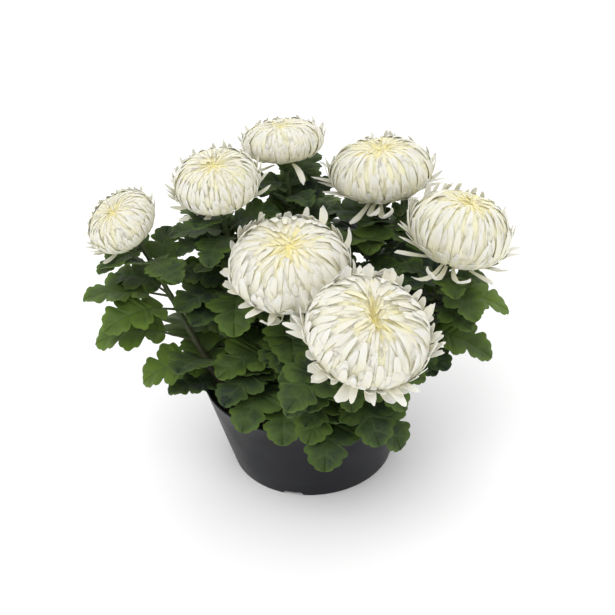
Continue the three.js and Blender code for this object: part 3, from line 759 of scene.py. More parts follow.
def leaf_probes(leaf):
    """Points spread over a leaf and its stalk, to keep it clear of what is already there."""
    start, base, bend = leaf_frame(leaf)
    places = [
        (along, out * (PROBE_REACH if along < 1 else PROBE_TIP_REACH), 0)
        for along in PROBES_ALONG
        for out in PROBES_OUT
    ]
    stalk = [start + (base - start) * share for share in PROBES_OF_STALK]
    return np.vstack([bend(*np.array(places).T), stalk])


def filling_leaves(stem, count):
    """Filling leaves stand round each stem at the golden angle, larger in the middle of the stem."""
    roll = Dice(SEED + stem)
    leaves = []
    for i in range(count):
        share = (i + 0.5) / count
        leaf = Leaf(
            stem=stem,
            at=between(FILLING_FROM, FILLING_TO, share),
            turn=GOLDEN_TURN * i + FILLING_STEM_TURN * stem,
            rise=20 + 20 * roll(),
            droop=50 + 30 * roll(),
            stalk=14 + 10 * roll(),
            size=54 + 14 * math.sin(math.pi * share) - 6 * roll(),
            roll=16 * (roll() - 0.5),
            tint=FILLING_SHADED_TINTS[stem - 1],
        )
        leaves.append(leaf)
    return leaves


def small_leaves(stem, count):
    """Smaller leaves between the large ones, from the soil up to just under the head."""
    roll = Dice(SEED + 100 * stem)
    leaves = []
    for i in range(count):
        share = (i + 0.5) / count
        leaf = Leaf(
            stem=stem,
            at=between(SMALL_FROM, SMALL_TO, share),
            turn=GOLDEN_TURN * (i + 0.5) + SMALL_STEM_TURN * stem,
            rise=roll(15, 45),
            droop=roll(35, 75),
            stalk=roll(6, 16),
            size=between(SMALL_LOW_SIZE, SMALL_HIGH_SIZE, share) * roll(0.85, 1.1),
            roll=roll(-14, 14),
            # A low tint: painted shade on small leaves that lie between and under the large ones.
            tint=roll(0, 0.4),
            small=True,
        )
        leaves.append(leaf)
    return leaves


def near(some, others, distance):
    return (((some[:, None] - others[None]) ** 2).sum(axis=2) < distance * distance).any()


def place_leaves():
    """Each leaf takes the first direction that keeps it clear. One that finds no room is left out."""
    shares = np.linspace(0, 1, STEM_POINTS)[STEM_POINTS_BELOW:]
    stems = [stem_path(plant)(shares) for plant in PLANTS]
    placed = []

    def clear(leaf, probes, room):
        if any(in_head(probes, plant.head, room.head).any() for plant in PLANTS):
            return False
        out, height = np.hypot(probes[:, 0], probes[:, 1]), probes[:, 2]
        wall = pot_radius(np.maximum(height, 0)) + room.pot
        if ((height < POT_HEIGHT + room.pot) & (out < wall) & (out > POT_TOP - RIM_ZONE)).any():
            return False
        if ((height < SOIL_TOP + room.soil) & (out < POT_TOP)).any():
            return False
        if any(i != leaf.stem - 1 and near(probes, points, room.stem) for i, points in enumerate(stems)):
            return False
        for other, kept in placed:
            if near(probes, kept, room.own_leaf if other.stem == leaf.stem else room.leaf):
                return False
        return True

    def first_clear(leaf, room):
        for lift in LIFTS:
            for swing in SWINGS:
                tried = leaf._replace(turn=leaf.turn + swing, rise=leaf.rise + lift)
                probes = leaf_probes(tried)
                if clear(tried, probes, room):
                    return tried, probes
        return None

    main = [*OUTER_LEAVES]
    small = [leaf._replace(small=True) for leaf in EDGE_LEAVES]
    for i, plant in enumerate(PLANTS):
        main += filling_leaves(i + 1, plant.filling)
        small += small_leaves(i + 1, SMALL_LEAVES[i])
    for leaves, room in ((main, MAIN_ROOM), (small, SMALL_ROOM)):
        for leaf in leaves:
            found = first_clear(leaf, room)
            if found:
                placed.append(found)
    return [leaf for leaf, _ in placed]


# ------------------------------------------------------------------ leafy stems


def through(points, count):
    """Points on a smooth curve through the given ones, count of them to each stretch."""
    points = np.array(points, float)
    padded = np.vstack([2 * points[0] - points[1], points, 2 * points[-1] - points[-2]])
    curve = []
    for before, start, end, after in zip(padded, padded[1:], padded[2:], padded[3:]):
        for t in np.arange(count) / count:
            bend = 2 * start + (end - before) * t + (2 * before - 5 * start + 4 * end - after) * t * t
            curve.append(0.5 * (bend + (3 * start - before - 3 * end + after) * t**3))
    return np.vstack([curve, points[-1]])


class LeafShape:
    """The lobed blade in flat shares of its length, laid out on a sheet form."""

    def __init__(self, columns, steps):
        edge = through(LEAF_EDGE, steps)
        rows = len(edge) - 1
        self.form = sheet_form("blade", columns, rows, LEAF_VALUES)
        row = (self.form.y + 0.5) * rows
        column = 2 * self.form.x
        self.reach = np.abs(column) ** LEAF_CROWDING
        along, out, rib = (np.interp(row, np.arange(rows + 1), values) for values in edge.T)
        rib = np.maximum.accumulate(np.clip(edge[:, 2], 0, 1))[np.round(row).astype(int)]
        self.along = rib + self.reach * (along - rib)
        self.out = -np.sign(column) * self.reach * np.maximum(out, 0)
        self.under = (self.form.z < -0.005).astype(float)
        veins = steps * np.array(LEAF_VEINS)
        distance = np.abs(row[:, None] - veins[None]).min(axis=1)
        side_vein = np.clip(1 - distance, 0, 1) * (1 - 0.6 * self.reach)
        midrib = np.clip(1 - self.reach / MIDRIB_WIDTH, 0, 1)
        self.vein = np.maximum(side_vein, midrib)
        self.quilt = np.minimum(distance / (1.5 * steps), 1) * 4 * self.reach * (1 - self.reach)

    def add_to(self, bm, leaf, roll):
        """Adds one leaf's blade, quilted between its veins and gently waved at its edge."""
        _, _, bend = leaf_frame(leaf)
        height = roll(0.012, 0.03)
        waves = self.along * roll(1.6, 2.6) + roll()
        wave = height * np.sin(2 * math.pi * waves) * self.reach**2
        twist = roll(-0.1, 0.1) * self.out * self.along
        relief = wave + twist + LEAF_QUILT * self.quilt - LEAF_GROOVE * self.vein
        up = leaf.size * relief + LEAF_THICKNESS * (0.5 - self.under)
        self.form.add_to(
            bm,
            bend(self.along, self.out, up),
            0,
            vein=self.vein,
            edge=self.reach,
            tint=min(max(leaf.tint + roll(-0.12, 0.12), 0), 1),
            under=self.under,
        )


def add_leaf(bm, shape, rod, leaf, roll):
    """A blade with its stalk, which runs on under it as the midrib."""
    shape.add_to(bm, leaf, roll)
    start, base, bend = leaf_frame(leaf)
    midrib = [bend(along, 0, -0.5 * LEAF_THICKNESS - MIDRIB_DROP) for along in MIDRIB_POINTS]
    path = polyline([start, start + 0.5 * (base - start), base, *midrib])
    radii = tapering(STALK_SHARES, STALK_RADII)
    rod.add_to(bm, rod_places(rod, path, radii), 1, under=0.0, tint=leaf.tint)


CUP_DEPTH = 11  # how far the green cup reaches down from the seat of its head
CUP_OVERLAP = 1.5  # how far it reaches into the head
CUP_SHARES = (0, 0.3, 0.55, 1)
CUP_NECK_RADII = (1.9, 2.6)
CUP_BOWL_RADII = (7.2, 10.5)  # under a full head

# Rows of bracts round the cup: how many, how far they reach and how wide they are.
BRACT_ROWS = ((13, 1.0, 6.5), (13, 1.25, 5.5))
BRACT_THICKNESS = 0.5


def add_calyx(bm, head, rod, bract, roll):
    """The green cup under a head, wrapped in two rows of narrow bracts."""
    axis = head_axis(head)
    seat = head_seat(head)
    scale = head.radius / FULL_HEAD
    path = polyline([seat - CUP_DEPTH * axis, seat + CUP_OVERLAP * axis])
    radii = tapering(CUP_SHARES, (*CUP_NECK_RADII, *(radius * scale for radius in CUP_BOWL_RADII)))
    rod.add_to(bm, rod_places(rod, path, radii), 1, under=0.0, tint=0.4)
    stand = head_stand(head)
    edge = np.abs(2 * bract.x)
    for row, (count, reach, width) in enumerate(BRACT_ROWS):
        line = arc_line((2.2, -9.5), (7.5 * scale + 1.5, -5.0), (reach * 12.5 * scale, 0.4 + 2 * row))
        for i in range(count):
            turn = 2 * math.pi * (i + 0.5 * row) / count
            breadth = width * scale * roll(0.9, 1.1)
            local = petal_places(bract, line, turn, breadth, cup=0.25, tip=0.5, thickness=BRACT_THICKNESS)
            bract.add_to(bm, place_all(stand, local), 0, tint=0.35, under=0.3, edge=edge, vein=0.0)


def stem_radii(rod, joints):
    """The radii of a ribbed stem that is swollen where its leaves join it, as a function of shares."""
    ribs = 1 + STEM_RIB_DEPTH * np.cos(STEM_RIBS * np.arctan2(rod.y, rod.x))

    def radii(share):
        swollen = np.exp(-(((share[:, None] - joints[None]) / JOINT_REACH) ** 2)).max(axis=1)
        return between(STEM_FOOT, STEM_NECK, share) * ribs * (1 + JOINT_SWELLING * swollen)

    return radii


def make_leafy_stems(settings):
    """Each stem is one piece with its leaves and the cup under its head."""
    colours = (settings.dark, settings.light, settings.vein, settings.under)
    materials = [leaf_green(*colours), stem_green(settings.young_stem, settings.woody_stem)]
    shapes = {small: LeafShape(*fineness) for small, fineness in LEAF_FINENESS.items()}
    stalk_rod = rod_form("stalk", 7, 12, LEAF_VALUES)
    stem_rod = rod_form("stem", 20, 60, LEAF_VALUES)
    cup_rod = rod_form("cup", 20, 8, LEAF_VALUES)
    bract = sheet_form("bract", 4, 6, LEAF_VALUES)
    leaves = place_leaves()
    for i, plant in enumerate(PLANTS):
        roll = Dice(SEED + 31 * i)
        own = [leaf for leaf in leaves if leaf.stem == i + 1]
        bm = blank(LEAF_VALUES)
        radii = stem_radii(stem_rod, np.array([leaf.at for leaf in own]))
        stem_rod.add_to(bm, rod_places(stem_rod, stem_path(plant), radii), 1, under=0.0, tint=0.3)
        for leaf in own:
            add_leaf(bm, shapes[leaf.small], stalk_rod, leaf, roll)
        add_calyx(bm, plant.head, cup_rod, bract, roll)
        piece_of(f"leafy_stem_{i + 1}", bm, materials, f"stem_{i + 1}")


# ------------------------------------------------------------------ flower heads

PETAL_FACES_ALONG = 8
PETAL_FACES_ACROSS = 3
PETAL_THICKNESS = 0.4
PETAL_WIDTH = 7.4  # of the outer petals of a full head
PETAL_SPACING = 4.4  # between neighbours of a row on a full head
PETAL_ROOT = 0.5  # about how far out the petals' roots lie, as a share of the head's rounded form
LOWEST_ROOT = 8  # the least angle of a petal's root and the greatest of its tip, in degrees from the seat
HIGHEST_TIP = 178
OPENING = 60  # degrees that the tips of fully open petals lie further down
GIRTH_BELOW_TIP = 12  # degrees below the tips of a row at which its petals are counted out
LEAST_GIRTH = 0.2  # as a share of the head's own
PETAL_VALUES = ("along", "across", "heart", "tint")
ROW_STAGGER = 0.382  # how far each row is turned against the one before, in petals
LONG_ROWS = 7  # the rows, counted from the skirt, of which a head with long petals has every second one
CORE_DEPTH = 0.04  # how far the core lies under the petals, as a share of the head's radius
DIMPLE_FROM = 2.3  # where the heart's dimple starts and is deepest, in radians round from the seat
DIMPLE_TO = 3.1
LIFT_FROM = 0.55  # from where along it a petal bends outwards
TUCK_FROM = 0.8  # and from where its tip is tucked in
SLIT_DEPTH = 12
SLIT_WIDTH = 3.5

# Rows of petals from the skirt up to the heart: the angle of their tips round from the seat, how many degrees
# they cover, their size as a share of the head's, how far tips may stand out and how wide the petals are.
Row = namedtuple("Row", "tip arc size lift width")
HEAD_ROWS = (
    Row(54, 42, 0.95, 0.18, 1.05),
    Row(76, 60, 0.985, 0.15, 1.05),
    Row(96, 76, 1.01, 0.11, 1.0),
    Row(114, 88, 1.0, 0.1, 0.95),
    Row(130, 94, 0.985, 0.09, 0.9),
    Row(144, 94, 0.968, 0.07, 0.8),
    Row(155, 88, 0.95, 0.05, 0.68),
    Row(163, 78, 0.93, 0.04, 0.56),
    Row(169, 68, 0.912, 0.03, 0.46),
    Row(174, 58, 0.895, 0.02, 0.4),
    Row(178, 48, 0.88, 0.01, 0.36),
)

# How each head differs. lowest: its first row. long: every second outer row is left out, which shows more of
# each petal. reach: how far the tips stay from the heart, where 1 is as in the rows above. open: how far the
# petals open. dimple: how deep the heart lies. point: how pointed the petals are. spacing: how wide and how
# far apart they are. uneven: how much they stray. slit_turn and slit: the direction from which the heart is
# drawn together into a slit, and how strongly.
Manner = namedtuple(
    "Manner", "lowest long reach open dimple point spacing uneven slit_turn slit", defaults=(0, 0)
)
MANNERS = (
    Manner(2, True, 0.84, 0.05, 0.32, 0.7, 0.8, 1.3),
    Manner(2, True, 0.88, 0.04, 0.28, 0.6, 0.82, 1.3),
    Manner(2, True, 0.82, 0.04, 0.28, 0.5, 0.82, 1.2),
    Manner(1, True, 0.94, 0.02, 0.26, 0.5, 0.88, 1.4),
    Manner(1, True, 0.94, 0.01, 0.2, 0.45, 0.9, 1.4),
    Manner(0, False, 0.97, 0.0, 0.24, 0.15, 0.96, 1.4),
    Manner(0, False, 0.98, 0.0, 0.18, 0.2, 0.98, 1.5, 12, 0.6),
)

# Loose petals at the edges of the heads: head, direction in degrees, three points of the petal's line as
# shares of the head's radius, [out, up from the seat], then its width, how far its tip is shifted sideways,
# both in millimetres, and how pointed it is.
Loose = namedtuple("Loose", "head turn root middle tip width sweep point")
LOOSE_PETALS = (
    Loose(6, 258, (0.45, 0.1), (1.1, -0.15), (0.96, 0.1), 8, -15, 0.2),
    Loose(6, 274, (0.45, 0.1), (0.9, 0.0), (0.97, 0.0), 9, 0, 0.0),
    Loose(6, 183, (0.6, 0.3), (1.0, 0.3), (1.15, 0.45), 11, 2, 0.2),
    Loose(6, 193, (0.6, 0.2), (1.0, 0.15), (1.13, 0.25), 11, -3, 0.2),
    Loose(6, 15, (0.7, 0.4), (1.2, 0.5), (1.05, 0.95), 9, 2, 0.4),
    Loose(6, 350, (0.7, 0.2), (1.25, 0.3), (1.05, 0.7), 9, 0, 0.3),
    Loose(6, 48, (0.7, 0.6), (1.05, 0.8), (0.94, 1.08), 9, 2, 0.6),
    Loose(7, 216, (0.5, 0.1), (1.0, 0.1), (1.12, 0.15), 10, 0, 0.5),
    Loose(7, 225, (0.5, 0.05), (0.95, 0.0), (1.1, -0.02), 10, -3, 0.6),
    Loose(7, 206, (0.5, 0.2), (1.05, 0.2), (1.1, 0.36), 10, 2, 0.2),
    Loose(7, 254, (0.5, 0.0), (0.95, 0.0), (1.08, -0.08), 11, -5, 0.1),
    Loose(7, 276, (0.5, 0.0), (0.95, 0.05), (1.02, 0.02), 9, 0, 0.1),
    Loose(7, 292, (0.5, 0.0), (1.0, 0.05), (1.08, 0.0), 11, 4, 0.1),
    Loose(7, 304, (0.5, 0.05), (1.05, 0.1), (1.08, 0.15), 11, 4, 0.2),
    Loose(7, 350, (0.6, 0.3), (1.1, 0.3), (1.16, 0.6), 8, 3, 0.9),
    Loose(7, 20, (0.6, 0.4), (1.1, 0.5), (1.08, 0.85), 9, 3, 0.7),
    Loose(7, 72, (0.6, 0.5), (1.0, 0.75), (0.96, 0.98), 11, 0, 0.3),
    Loose(7, 96, (0.6, 0.5), (0.95, 0.8), (0.9, 1.04), 10, 0, 0.2),
    Loose(7, 120, (0.6, 0.5), (1.0, 0.75), (0.94, 1.0), 10, -2, 0.3),
    Loose(5, 250, (0.4, 0.0), (1.15, -0.3), (1.15, 0.2), 7, -12, 0.7),
    Loose(5, 238, (0.4, 0.0), (1.0, -0.35), (1.05, -0.2), 6, -14, 1.0),
    Loose(5, 268, (0.4, 0.0), (1.0, -0.25), (0.9, 0.1), 7, 12, 0.6),
    Loose(5, 196, (0.5, 0.0), (1.0, 0.0), (1.2, 0.0), 8, -4, 0.7),
    Loose(5, 330, (0.5, 0.1), (1.05, 0.1), (1.14, 0.25), 6, 3, 1.0),
    Loose(5, 310, (0.5, 0.0), (0.95, 0.0), (1.08, 0.0), 8, 2, 0.8),
    Loose(4, 232, (0.4, 0.0), (0.95, -0.25), (0.98, -0.25), 7, -5, 0.9),
    Loose(4, 246, (0.4, 0.0), (1.15, -0.2), (0.75, 0.1), 7, 10, 0.5),
    Loose(4, 262, (0.4, 0.0), (1.1, -0.3), (0.95, 0.15), 7, 12, 0.6),
    Loose(4, 12, (0.6, 0.3), (1.05, 0.3), (1.15, 0.65), 8, 3, 0.9),
    Loose(4, 355, (0.6, 0.2), (1.1, 0.2), (1.18, 0.42), 8, 2, 0.9),
    Loose(4, 172, (0.6, 0.3), (1.05, 0.4), (1.05, 0.85), 7, 3, 0.9),
    Loose(3, 296, (0.4, 0.0), (0.8, -0.05), (0.9, -0.42), 6, 0, 0.3),
    Loose(3, 230, (0.4, 0.0), (0.9, 0.0), (1.05, -0.05), 6, -3, 0.7),
    Loose(3, 165, (0.6, 0.2), (1.05, 0.4), (1.05, 0.8), 7, 0, 0.8),
    Loose(3, 12, (0.6, 0.2), (1.05, 0.4), (1.08, 0.8), 6, 2, 0.9),
    Loose(2, 350, (0.6, 0.1), (1.1, 0.15), (1.25, 0.42), 6, 2, 0.7),
    Loose(2, 8, (0.7, 0.3), (1.1, 0.4), (1.1, 0.85), 6, 2, 0.7),
    Loose(2, 218, (0.5, 0.0), (1.0, 0.0), (1.14, 0.02), 7, -4, 0.8),
    Loose(2, 198, (0.5, 0.1), (1.05, 0.05), (1.2, 0.25), 6, -2, 1.0),
    Loose(2, 246, (0.4, 0.0), (0.85, -0.05), (1.0, -0.05), 7, -6, 0.3),
    Loose(1, 222, (0.5, 0.0), (1.05, 0.0), (1.2, 0.1), 6, -2, 1.0),
    Loose(1, 206, (0.5, 0.1), (1.1, 0.15), (1.18, 0.4), 6, 0, 1.0),
    Loose(1, 60, (0.5, 0.3), (1.1, 0.4), (1.1, 0.85), 6, 0, 1.0),
    Loose(1, 90, (0.5, 0.3), (1.1, 0.4), (1.08, 0.9), 7, 0, 0.9),
)


def head_stand(head):
    """Turns and moves a head's own coordinates, with +Z along its axis and its seat at 0, into place."""
    turn = Vector((0, 0, 1)).rotation_difference(Vector(head_axis(head)))
    return Matrix.Translation(Vector(head_seat(head))) @ turn.to_matrix().to_4x4()


def place_all(stand, points):
    matrix = np.array(stand)
    return points @ matrix[:3, :3].T + matrix[:3, 3]


def arc_line(start, middle, end):
    """A petal's line in [out, up], as a function of shares: a smooth curve drawn towards its middle point."""
    start, middle, end = (np.array(point, float) for point in (start, middle, end))

    def line(share):
        t = share[:, None]
        return ((1 - t) ** 2 * start + 2 * (1 - t) * t * middle + t * t * end).T

    return line


def shell_line(head, size, first, last, lift, tuck, dimple):
    """A petal's line on a head's rounded form, from its root inside to its tip. The heart is a dimple."""

    def line(t):
        angle = np.radians(first + (last - first) * t)
        height = np.where(np.cos(angle) > 0, head.below, head.above)
        sunk = 1 - dimple * smooth(DIMPLE_FROM, DIMPLE_TO, angle)
        grown = size * between(PETAL_ROOT, 1.0, smooth(-0.1, 0.42, t)) * sunk
        grown += lift * np.maximum(t - LIFT_FROM, 0) ** 2 * 5 - tuck * np.maximum(t - TUCK_FROM, 0) ** 2 * 25
        return grown * head.radius * np.sin(angle), SEAT_SHARE * head.below - grown * height * np.cos(angle)

    return line


def petal_places(
    form, line, turn, width, cup=0.35, tip=0.6, notch=0.0, sweep=0.0, roll=0.0, thickness=PETAL_THICKNESS
):
    """Bends a sheet form along a petal's line.

    cup: how far its edges curl in. tip: how blunt its end is. notch: how deep that is notched. sweep: how far
    it is shifted sideways. roll: how far the petal is turned about its line.
    """
    across = 2 * form.x
    share = np.sin(0.5 * math.pi * (form.y + 0.5))
    end = share**6
    step = 0.01
    length = np.hypot(*np.diff(np.array(line(np.linspace(0, 1, 9))), axis=1)).sum()
    blunt = between(0.9, 0.55, tip) * 0.5 * width / length
    eased = np.clip(share - end * (blunt * across**2 + notch * (1 - np.abs(across)) ** 2), 0, 1)
    out, up = line(eased)
    out_after, up_after = line(eased + step)
    out_before, up_before = line(eased - step)
    slope = np.stack([out_after - out_before, up_after - up_before])
    slope /= np.maximum(np.linalg.norm(slope, axis=0), 1e-9)
    ends = (between(0.86, 1.0, tip), between(0.52, 0.9, tip), between(0.06, 0.62, tip))
    half = 0.5 * width * np.interp(share, (0, 0.25, 0.55, 0.8, 0.93, 1), (0.4, 0.7, 1, *ends))
    back = (form.z < -0.005) * -thickness
    off = back - half * (cup * across**2 - roll * across)
    out = out + slope[1] * off
    up = up - slope[0] * off
    side = across * half + sweep * share**2
    x = out * math.cos(turn) - side * math.sin(turn)
    y = out * math.sin(turn) + side * math.cos(turn)
    return np.stack([x, y, up], axis=1)


def add_core(bm, head, stand, manner):
    """The body that the petals stand out of."""
    core = bmesh.new()
    bmesh.ops.create_uvsphere(core, u_segments=28, v_segments=18, radius=1)
    form = Form("core", core, PETAL_VALUES)
    height = np.where(form.z < 0, head.below, head.above)
    angle = np.arccos(np.clip(-form.z, -1, 1))
    tips, sizes = zip(*((math.radians(row.tip), row.size) for row in HEAD_ROWS))
    sunk = 1 - manner.dimple * smooth(DIMPLE_FROM, DIMPLE_TO, angle)
    size = (np.interp(angle, tips, sizes) - CORE_DEPTH) * sunk
    up = np.maximum(SEAT_SHARE * head.below + form.z * height * size, 0.3)
    local = np.stack([form.x * head.radius * size, form.y * head.radius * size, up], axis=1)
    if manner.slit:
        local = closed_in(local, head, manner)
    heart = smooth(0.75, 1.0, form.z)
    form.add_to(bm, place_all(stand, local), 0, along=0.45, across=0.0, heart=heart, tint=0.5)


def closed_in(points, head, manner):
    """Draws a head's heart together into a slit."""
    turn = math.radians(manner.slit_turn)
    ahead = points[:, 0] * math.cos(turn) + points[:, 1] * math.sin(turn)
    near_heart = 1 - smooth(0.1, 0.85, np.hypot(points[:, 0], points[:, 1]) / head.radius)
    drawn = manner.slit * near_heart * ahead * smooth(0.3, 0.9, points[:, 2] / (head.above + head.below))
    groove = SLIT_DEPTH * manner.slit * np.exp(-((ahead - drawn) / SLIT_WIDTH) ** 2) * near_heart**2
    return points - np.stack([drawn * math.cos(turn), drawn * math.sin(turn), groove], axis=1)


def rows_of(manner):
    """The rows of petals that a head has, each with its number."""
    for index, row in enumerate(HEAD_ROWS):
        left_out = manner.long and index < LONG_ROWS and (index - manner.lowest) % 2
        if index >= manner.lowest and not left_out:
            yield index, row


def petals_in(row, head, size):
    """How many petals go round a head in a row."""
    share = max(math.sin(math.radians(row.tip - GIRTH_BELOW_TIP)), LEAST_GIRTH)
    girth = 2 * math.pi * head.radius * share
    spacing = PETAL_SPACING * size * between(0.75, 1, row.width)
    return round(girth / spacing)


def row_petal(petal, head, manner, row, inner, turn, size, roll):
    """The places of one petal of a row. Petals in the middle rows stray more at the back of the head."""
    opened = manner.open * (1 - inner)
    strayed = manner.uneven * roll(-13, 8) * between(1, 0.3, inner)
    last = 180 - manner.reach * (180 - row.tip) + strayed - OPENING * opened
    far = max(math.sin(turn), 0) if 90 < row.tip < 160 else 0
    stray = roll() ** (5 - 2 * far) * manner.uneven
    line = shell_line(
        head,
        size=row.size + roll(-0.008, 0.008) * manner.uneven,
        first=max(last - row.arc, LOWEST_ROOT),
        last=min(last, HIGHEST_TIP),
        lift=row.lift * (0.05 + 1.8 * stray) + opened,
        tuck=0.05 * (1 - min(stray, 1)) * (1 - manner.point * 0.6),
        dimple=manner.dimple,
    )
    return petal_places(
        petal,
        line,
        turn,
        width=PETAL_WIDTH * size * row.width * roll(0.88, 1.1),
        cup=roll(0.05, 0.2),
        tip=min(max(1 - manner.point + roll(-0.25, 0.25), 0), 1),
        notch=roll(0.02, 0.06) if roll() < 0.3 else 0.0,
        sweep=(roll(-2, 2) + roll(-1, 1) ** 3 * 7) * size * manner.uneven * (1 - 0.6 * inner),
        roll=roll(-0.06, 0.06) * manner.uneven,
    )


def loose_petal(petal, head, loose):
    points = [np.array(point) * head.radius for point in (loose.root, loose.middle, loose.tip)]
    turn = math.radians(loose.turn)
    return petal_places(petal, arc_line(*points), turn, loose.width, tip=1 - loose.point, sweep=loose.sweep)


def make_head(number, plant, manner, petal, material):
    """A head's core, rows of petals and loose petals. None of a row's petals ends in another head."""
    head = plant.head
    stand = head_stand(head)
    others = [other.head for other in PLANTS if other is not plant]
    roll = Dice(SEED + 1000 + number)
    bm = blank(PETAL_VALUES)
    add_core(bm, head, stand, manner)
    size = math.sqrt(head.radius / FULL_HEAD) * manner.spacing
    along, across = np.sin(0.5 * math.pi * (petal.y + 0.5)), 2 * petal.x
    end = np.argmax(along - 0.1 * np.abs(across))
    for index, row in rows_of(manner):
        inner = index / (len(HEAD_ROWS) - 1)
        count = petals_in(row, head, size)
        for i in range(count):
            turn = 2 * math.pi * (i + ROW_STAGGER * index + manner.uneven * roll(-0.35, 0.35)) / count
            local = row_petal(petal, head, manner, row, inner, turn, size, roll)
            if manner.slit:
                local = closed_in(local, head, manner)
            places = place_all(stand, local)
            if not any(in_head(places[end][None], other, 1.0)[0] for other in others):
                heart = smooth(0.5, 0.95, inner)
                petal.add_to(bm, places, 0, heart=heart, tint=roll(), along=along, across=across)
    for loose in LOOSE_PETALS:
        if loose.head == number:
            places = place_all(stand, loose_petal(petal, head, loose))
            pale = between(0.6, 1, along)
            petal.add_to(bm, places, 0, heart=0.0, tint=roll(), along=pale, across=across)
    piece_of(f"flower_head_{number}", bm, [material], f"bloom_{number}")


def make_flower_heads(settings):
    material = petal_white(settings.white, settings.cream, settings.depth, settings.heart)
    petal = sheet_form("petal", PETAL_FACES_ACROSS, PETAL_FACES_ALONG, PETAL_VALUES)
    for i, (plant, manner) in enumerate(zip(PLANTS, MANNERS)):
        make_head(i + 1, plant, manner, petal, material)


# ------------------------------------------------------------------ stage

CAMERA_TARGET = (2.2, 0, 153)
CAMERA_DISTANCE = 1300
CAMERA_RISE = 34.5
CAMERA_ROLL = 3.3
CAMERA_LENS = 87.2
KEY_TILT = 32  # degrees that the key light leans from straight down
KEY_TURN = -35
BACK_TILT = 50  # the same for the light from behind
BACK_TURN = 160
FLOOR_REACH = 4000
FLOOR_DROP = 0.2  # how far the floor lies under the pot


def add_floor(settings):
    bm = bmesh.new()
    bmesh.ops.create_grid(bm, x_segments=1, y_segments=1, size=FLOOR_REACH * MM)
    bmesh.ops.translate(bm, verts=bm.verts, vec=(0, 0, -FLOOR_DROP * MM))
    mesh = bpy.data.meshes.new("studio_floor")
    bm.to_mesh(mesh)
    bm.free()
    mesh.materials.append(studio_floor(settings.floor))
    floor = bpy.data.objects.new("studio_floor", mesh)
    bpy.context.scene.collection.objects.link(floor)


def add_lights(settings):
    """Even light from all round, a soft light from the upper left and one from behind."""
    world = bpy.data.worlds.new("studio")
    world.use_nodes = True
    sky = world.node_tree.nodes["Background"]
    sky.inputs["Color"].default_value = rgba(settings.sky)
    sky.inputs["Strength"].default_value = settings.sky_strength
    bpy.context.scene.world = world
    bpy.context.scene.view_settings.view_transform = "Standard"

    for name, energy, tilt, turn in (
        ("key_light", settings.key_strength, KEY_TILT, KEY_TURN),
        ("back_light", settings.back_strength, BACK_TILT, BACK_TURN),
    ):
        light = bpy.data.lights.new(name, "SUN")
        light.energy = energy
        light.angle = settings.softness
        lamp = bpy.data.objects.new(name, light)
        lamp.rotation_euler = (math.radians(tilt), 0, math.radians(turn))
        bpy.context.scene.collection.objects.link(lamp)


def add_camera():
    rise, roll = math.radians(CAMERA_RISE), math.radians(CAMERA_ROLL)
    back = Vector((0, -math.cos(rise), math.sin(rise)))
    up = Vector((0, math.sin(rise), math.cos(rise)))
    right = Vector((1, 0, 0))
    turned_right = right * math.cos(roll) - up * math.sin(roll)
    turned_up = up * math.cos(roll) + right * math.sin(roll)
    turn = Matrix((turned_right, turned_up, back)).transposed()
    data = bpy.data.cameras.new("camera")
    data.lens = CAMERA_LENS
    camera = bpy.data.objects.new("camera", data)
    place = Vector(CAMERA_TARGET) * MM + back * CAMERA_DISTANCE * MM
    camera.matrix_world = Matrix.Translation(place) @ turn.to_4x4()
    bpy.context.scene.collection.objects.link(camera)
    bpy.context.scene.camera = camera


def make_stage(settings):
    add_floor(settings)
    add_lights(settings)
    add_camera()


# ------------------------------------------------------------------ settings


def colour(name, description, default):
    return bpy.props.FloatVectorProperty(
        name=name, description=description, default=default, size=3, min=0, max=1, subtype="COLOR"
    )


def strength(name, description, default):
    return bpy.props.FloatProperty(name=name, description=description, default=default, min=0)


class PotSettings(bpy.types.PropertyGroup):
    colour: colour("Plastic", "Colour of the pot's plastic", (0.0042, 0.0044, 0.0068))
    worn: colour("Rubbed plastic", "Colour of the rubbed rim, foot and scuffs", (0.04, 0.043, 0.05))


class SoilSettings(bpy.types.PropertyGroup):
    dark: colour("Dark peat", "Colour of the moist depths of the soil", (0.012, 0.009, 0.007))
    light: colour("Light peat", "Colour of the drier crumbs", (0.045, 0.032, 0.022))


class FoliageSettings(bpy.types.PropertyGroup):
    # Dark green: the leaves' own colour, and painted shade on the leaves with a low tint inside the foliage.
    dark: colour("Dark green", "Colour of the oldest leaves", (0.0095, 0.0195, 0.0135))
    # Light green: the leaves' own colour, and painted light on the outer leaves with a high tint; also the
    # leaf edges.
    light: colour("Light green", "Colour of the youngest leaves and the leaf edges", (0.1, 0.168, 0.018))
    vein: colour("Veins", "Colour of the veins", (0.07, 0.115, 0.033))
    under: colour("Underside", "Colour of the undersides", (0.048, 0.075, 0.045))
    young_stem: colour("Young stem", "Colour of the stems near the heads", (0.05, 0.075, 0.022))
    woody_stem: colour("Woody stem", "Colour of the stems near the soil", (0.04, 0.032, 0.02))


class BloomSettings(bpy.types.PropertyGroup):
    white: colour("White", "Colour of the petal tips", (0.735, 0.728, 0.695))
    # Cream also serves as the painted shade along the petals' edges.
    cream: colour("Cream", "Colour of the middle of the petals", (0.765, 0.743, 0.565))
    depth: colour("Depth", "Colour of the petal roots", (0.75, 0.735, 0.35))
    heart: colour("Heart", "Colour of the innermost petals", (0.84, 0.725, 0.24))


class StageSettings(bpy.types.PropertyGroup):
    floor: colour("Floor", "Colour of the paper floor", (0.97, 0.97, 0.97))
    sky: colour("Surroundings", "Colour of the light from all round", (1.0, 1.0, 1.0))
    sky_strength: strength("Surroundings", "Strength of the light from all round", 1.05)
    key_strength: strength("Key light", "Strength of the light from the upper left", 0.75)
    back_strength: strength("Back light", "Strength of the light from behind", 0.45)
    softness: bpy.props.FloatProperty(
        name="Softness", description="Angle that each light spreads over", default=0.9, subtype="ANGLE"
    )


# ------------------------------------------------------------------ operators and panel


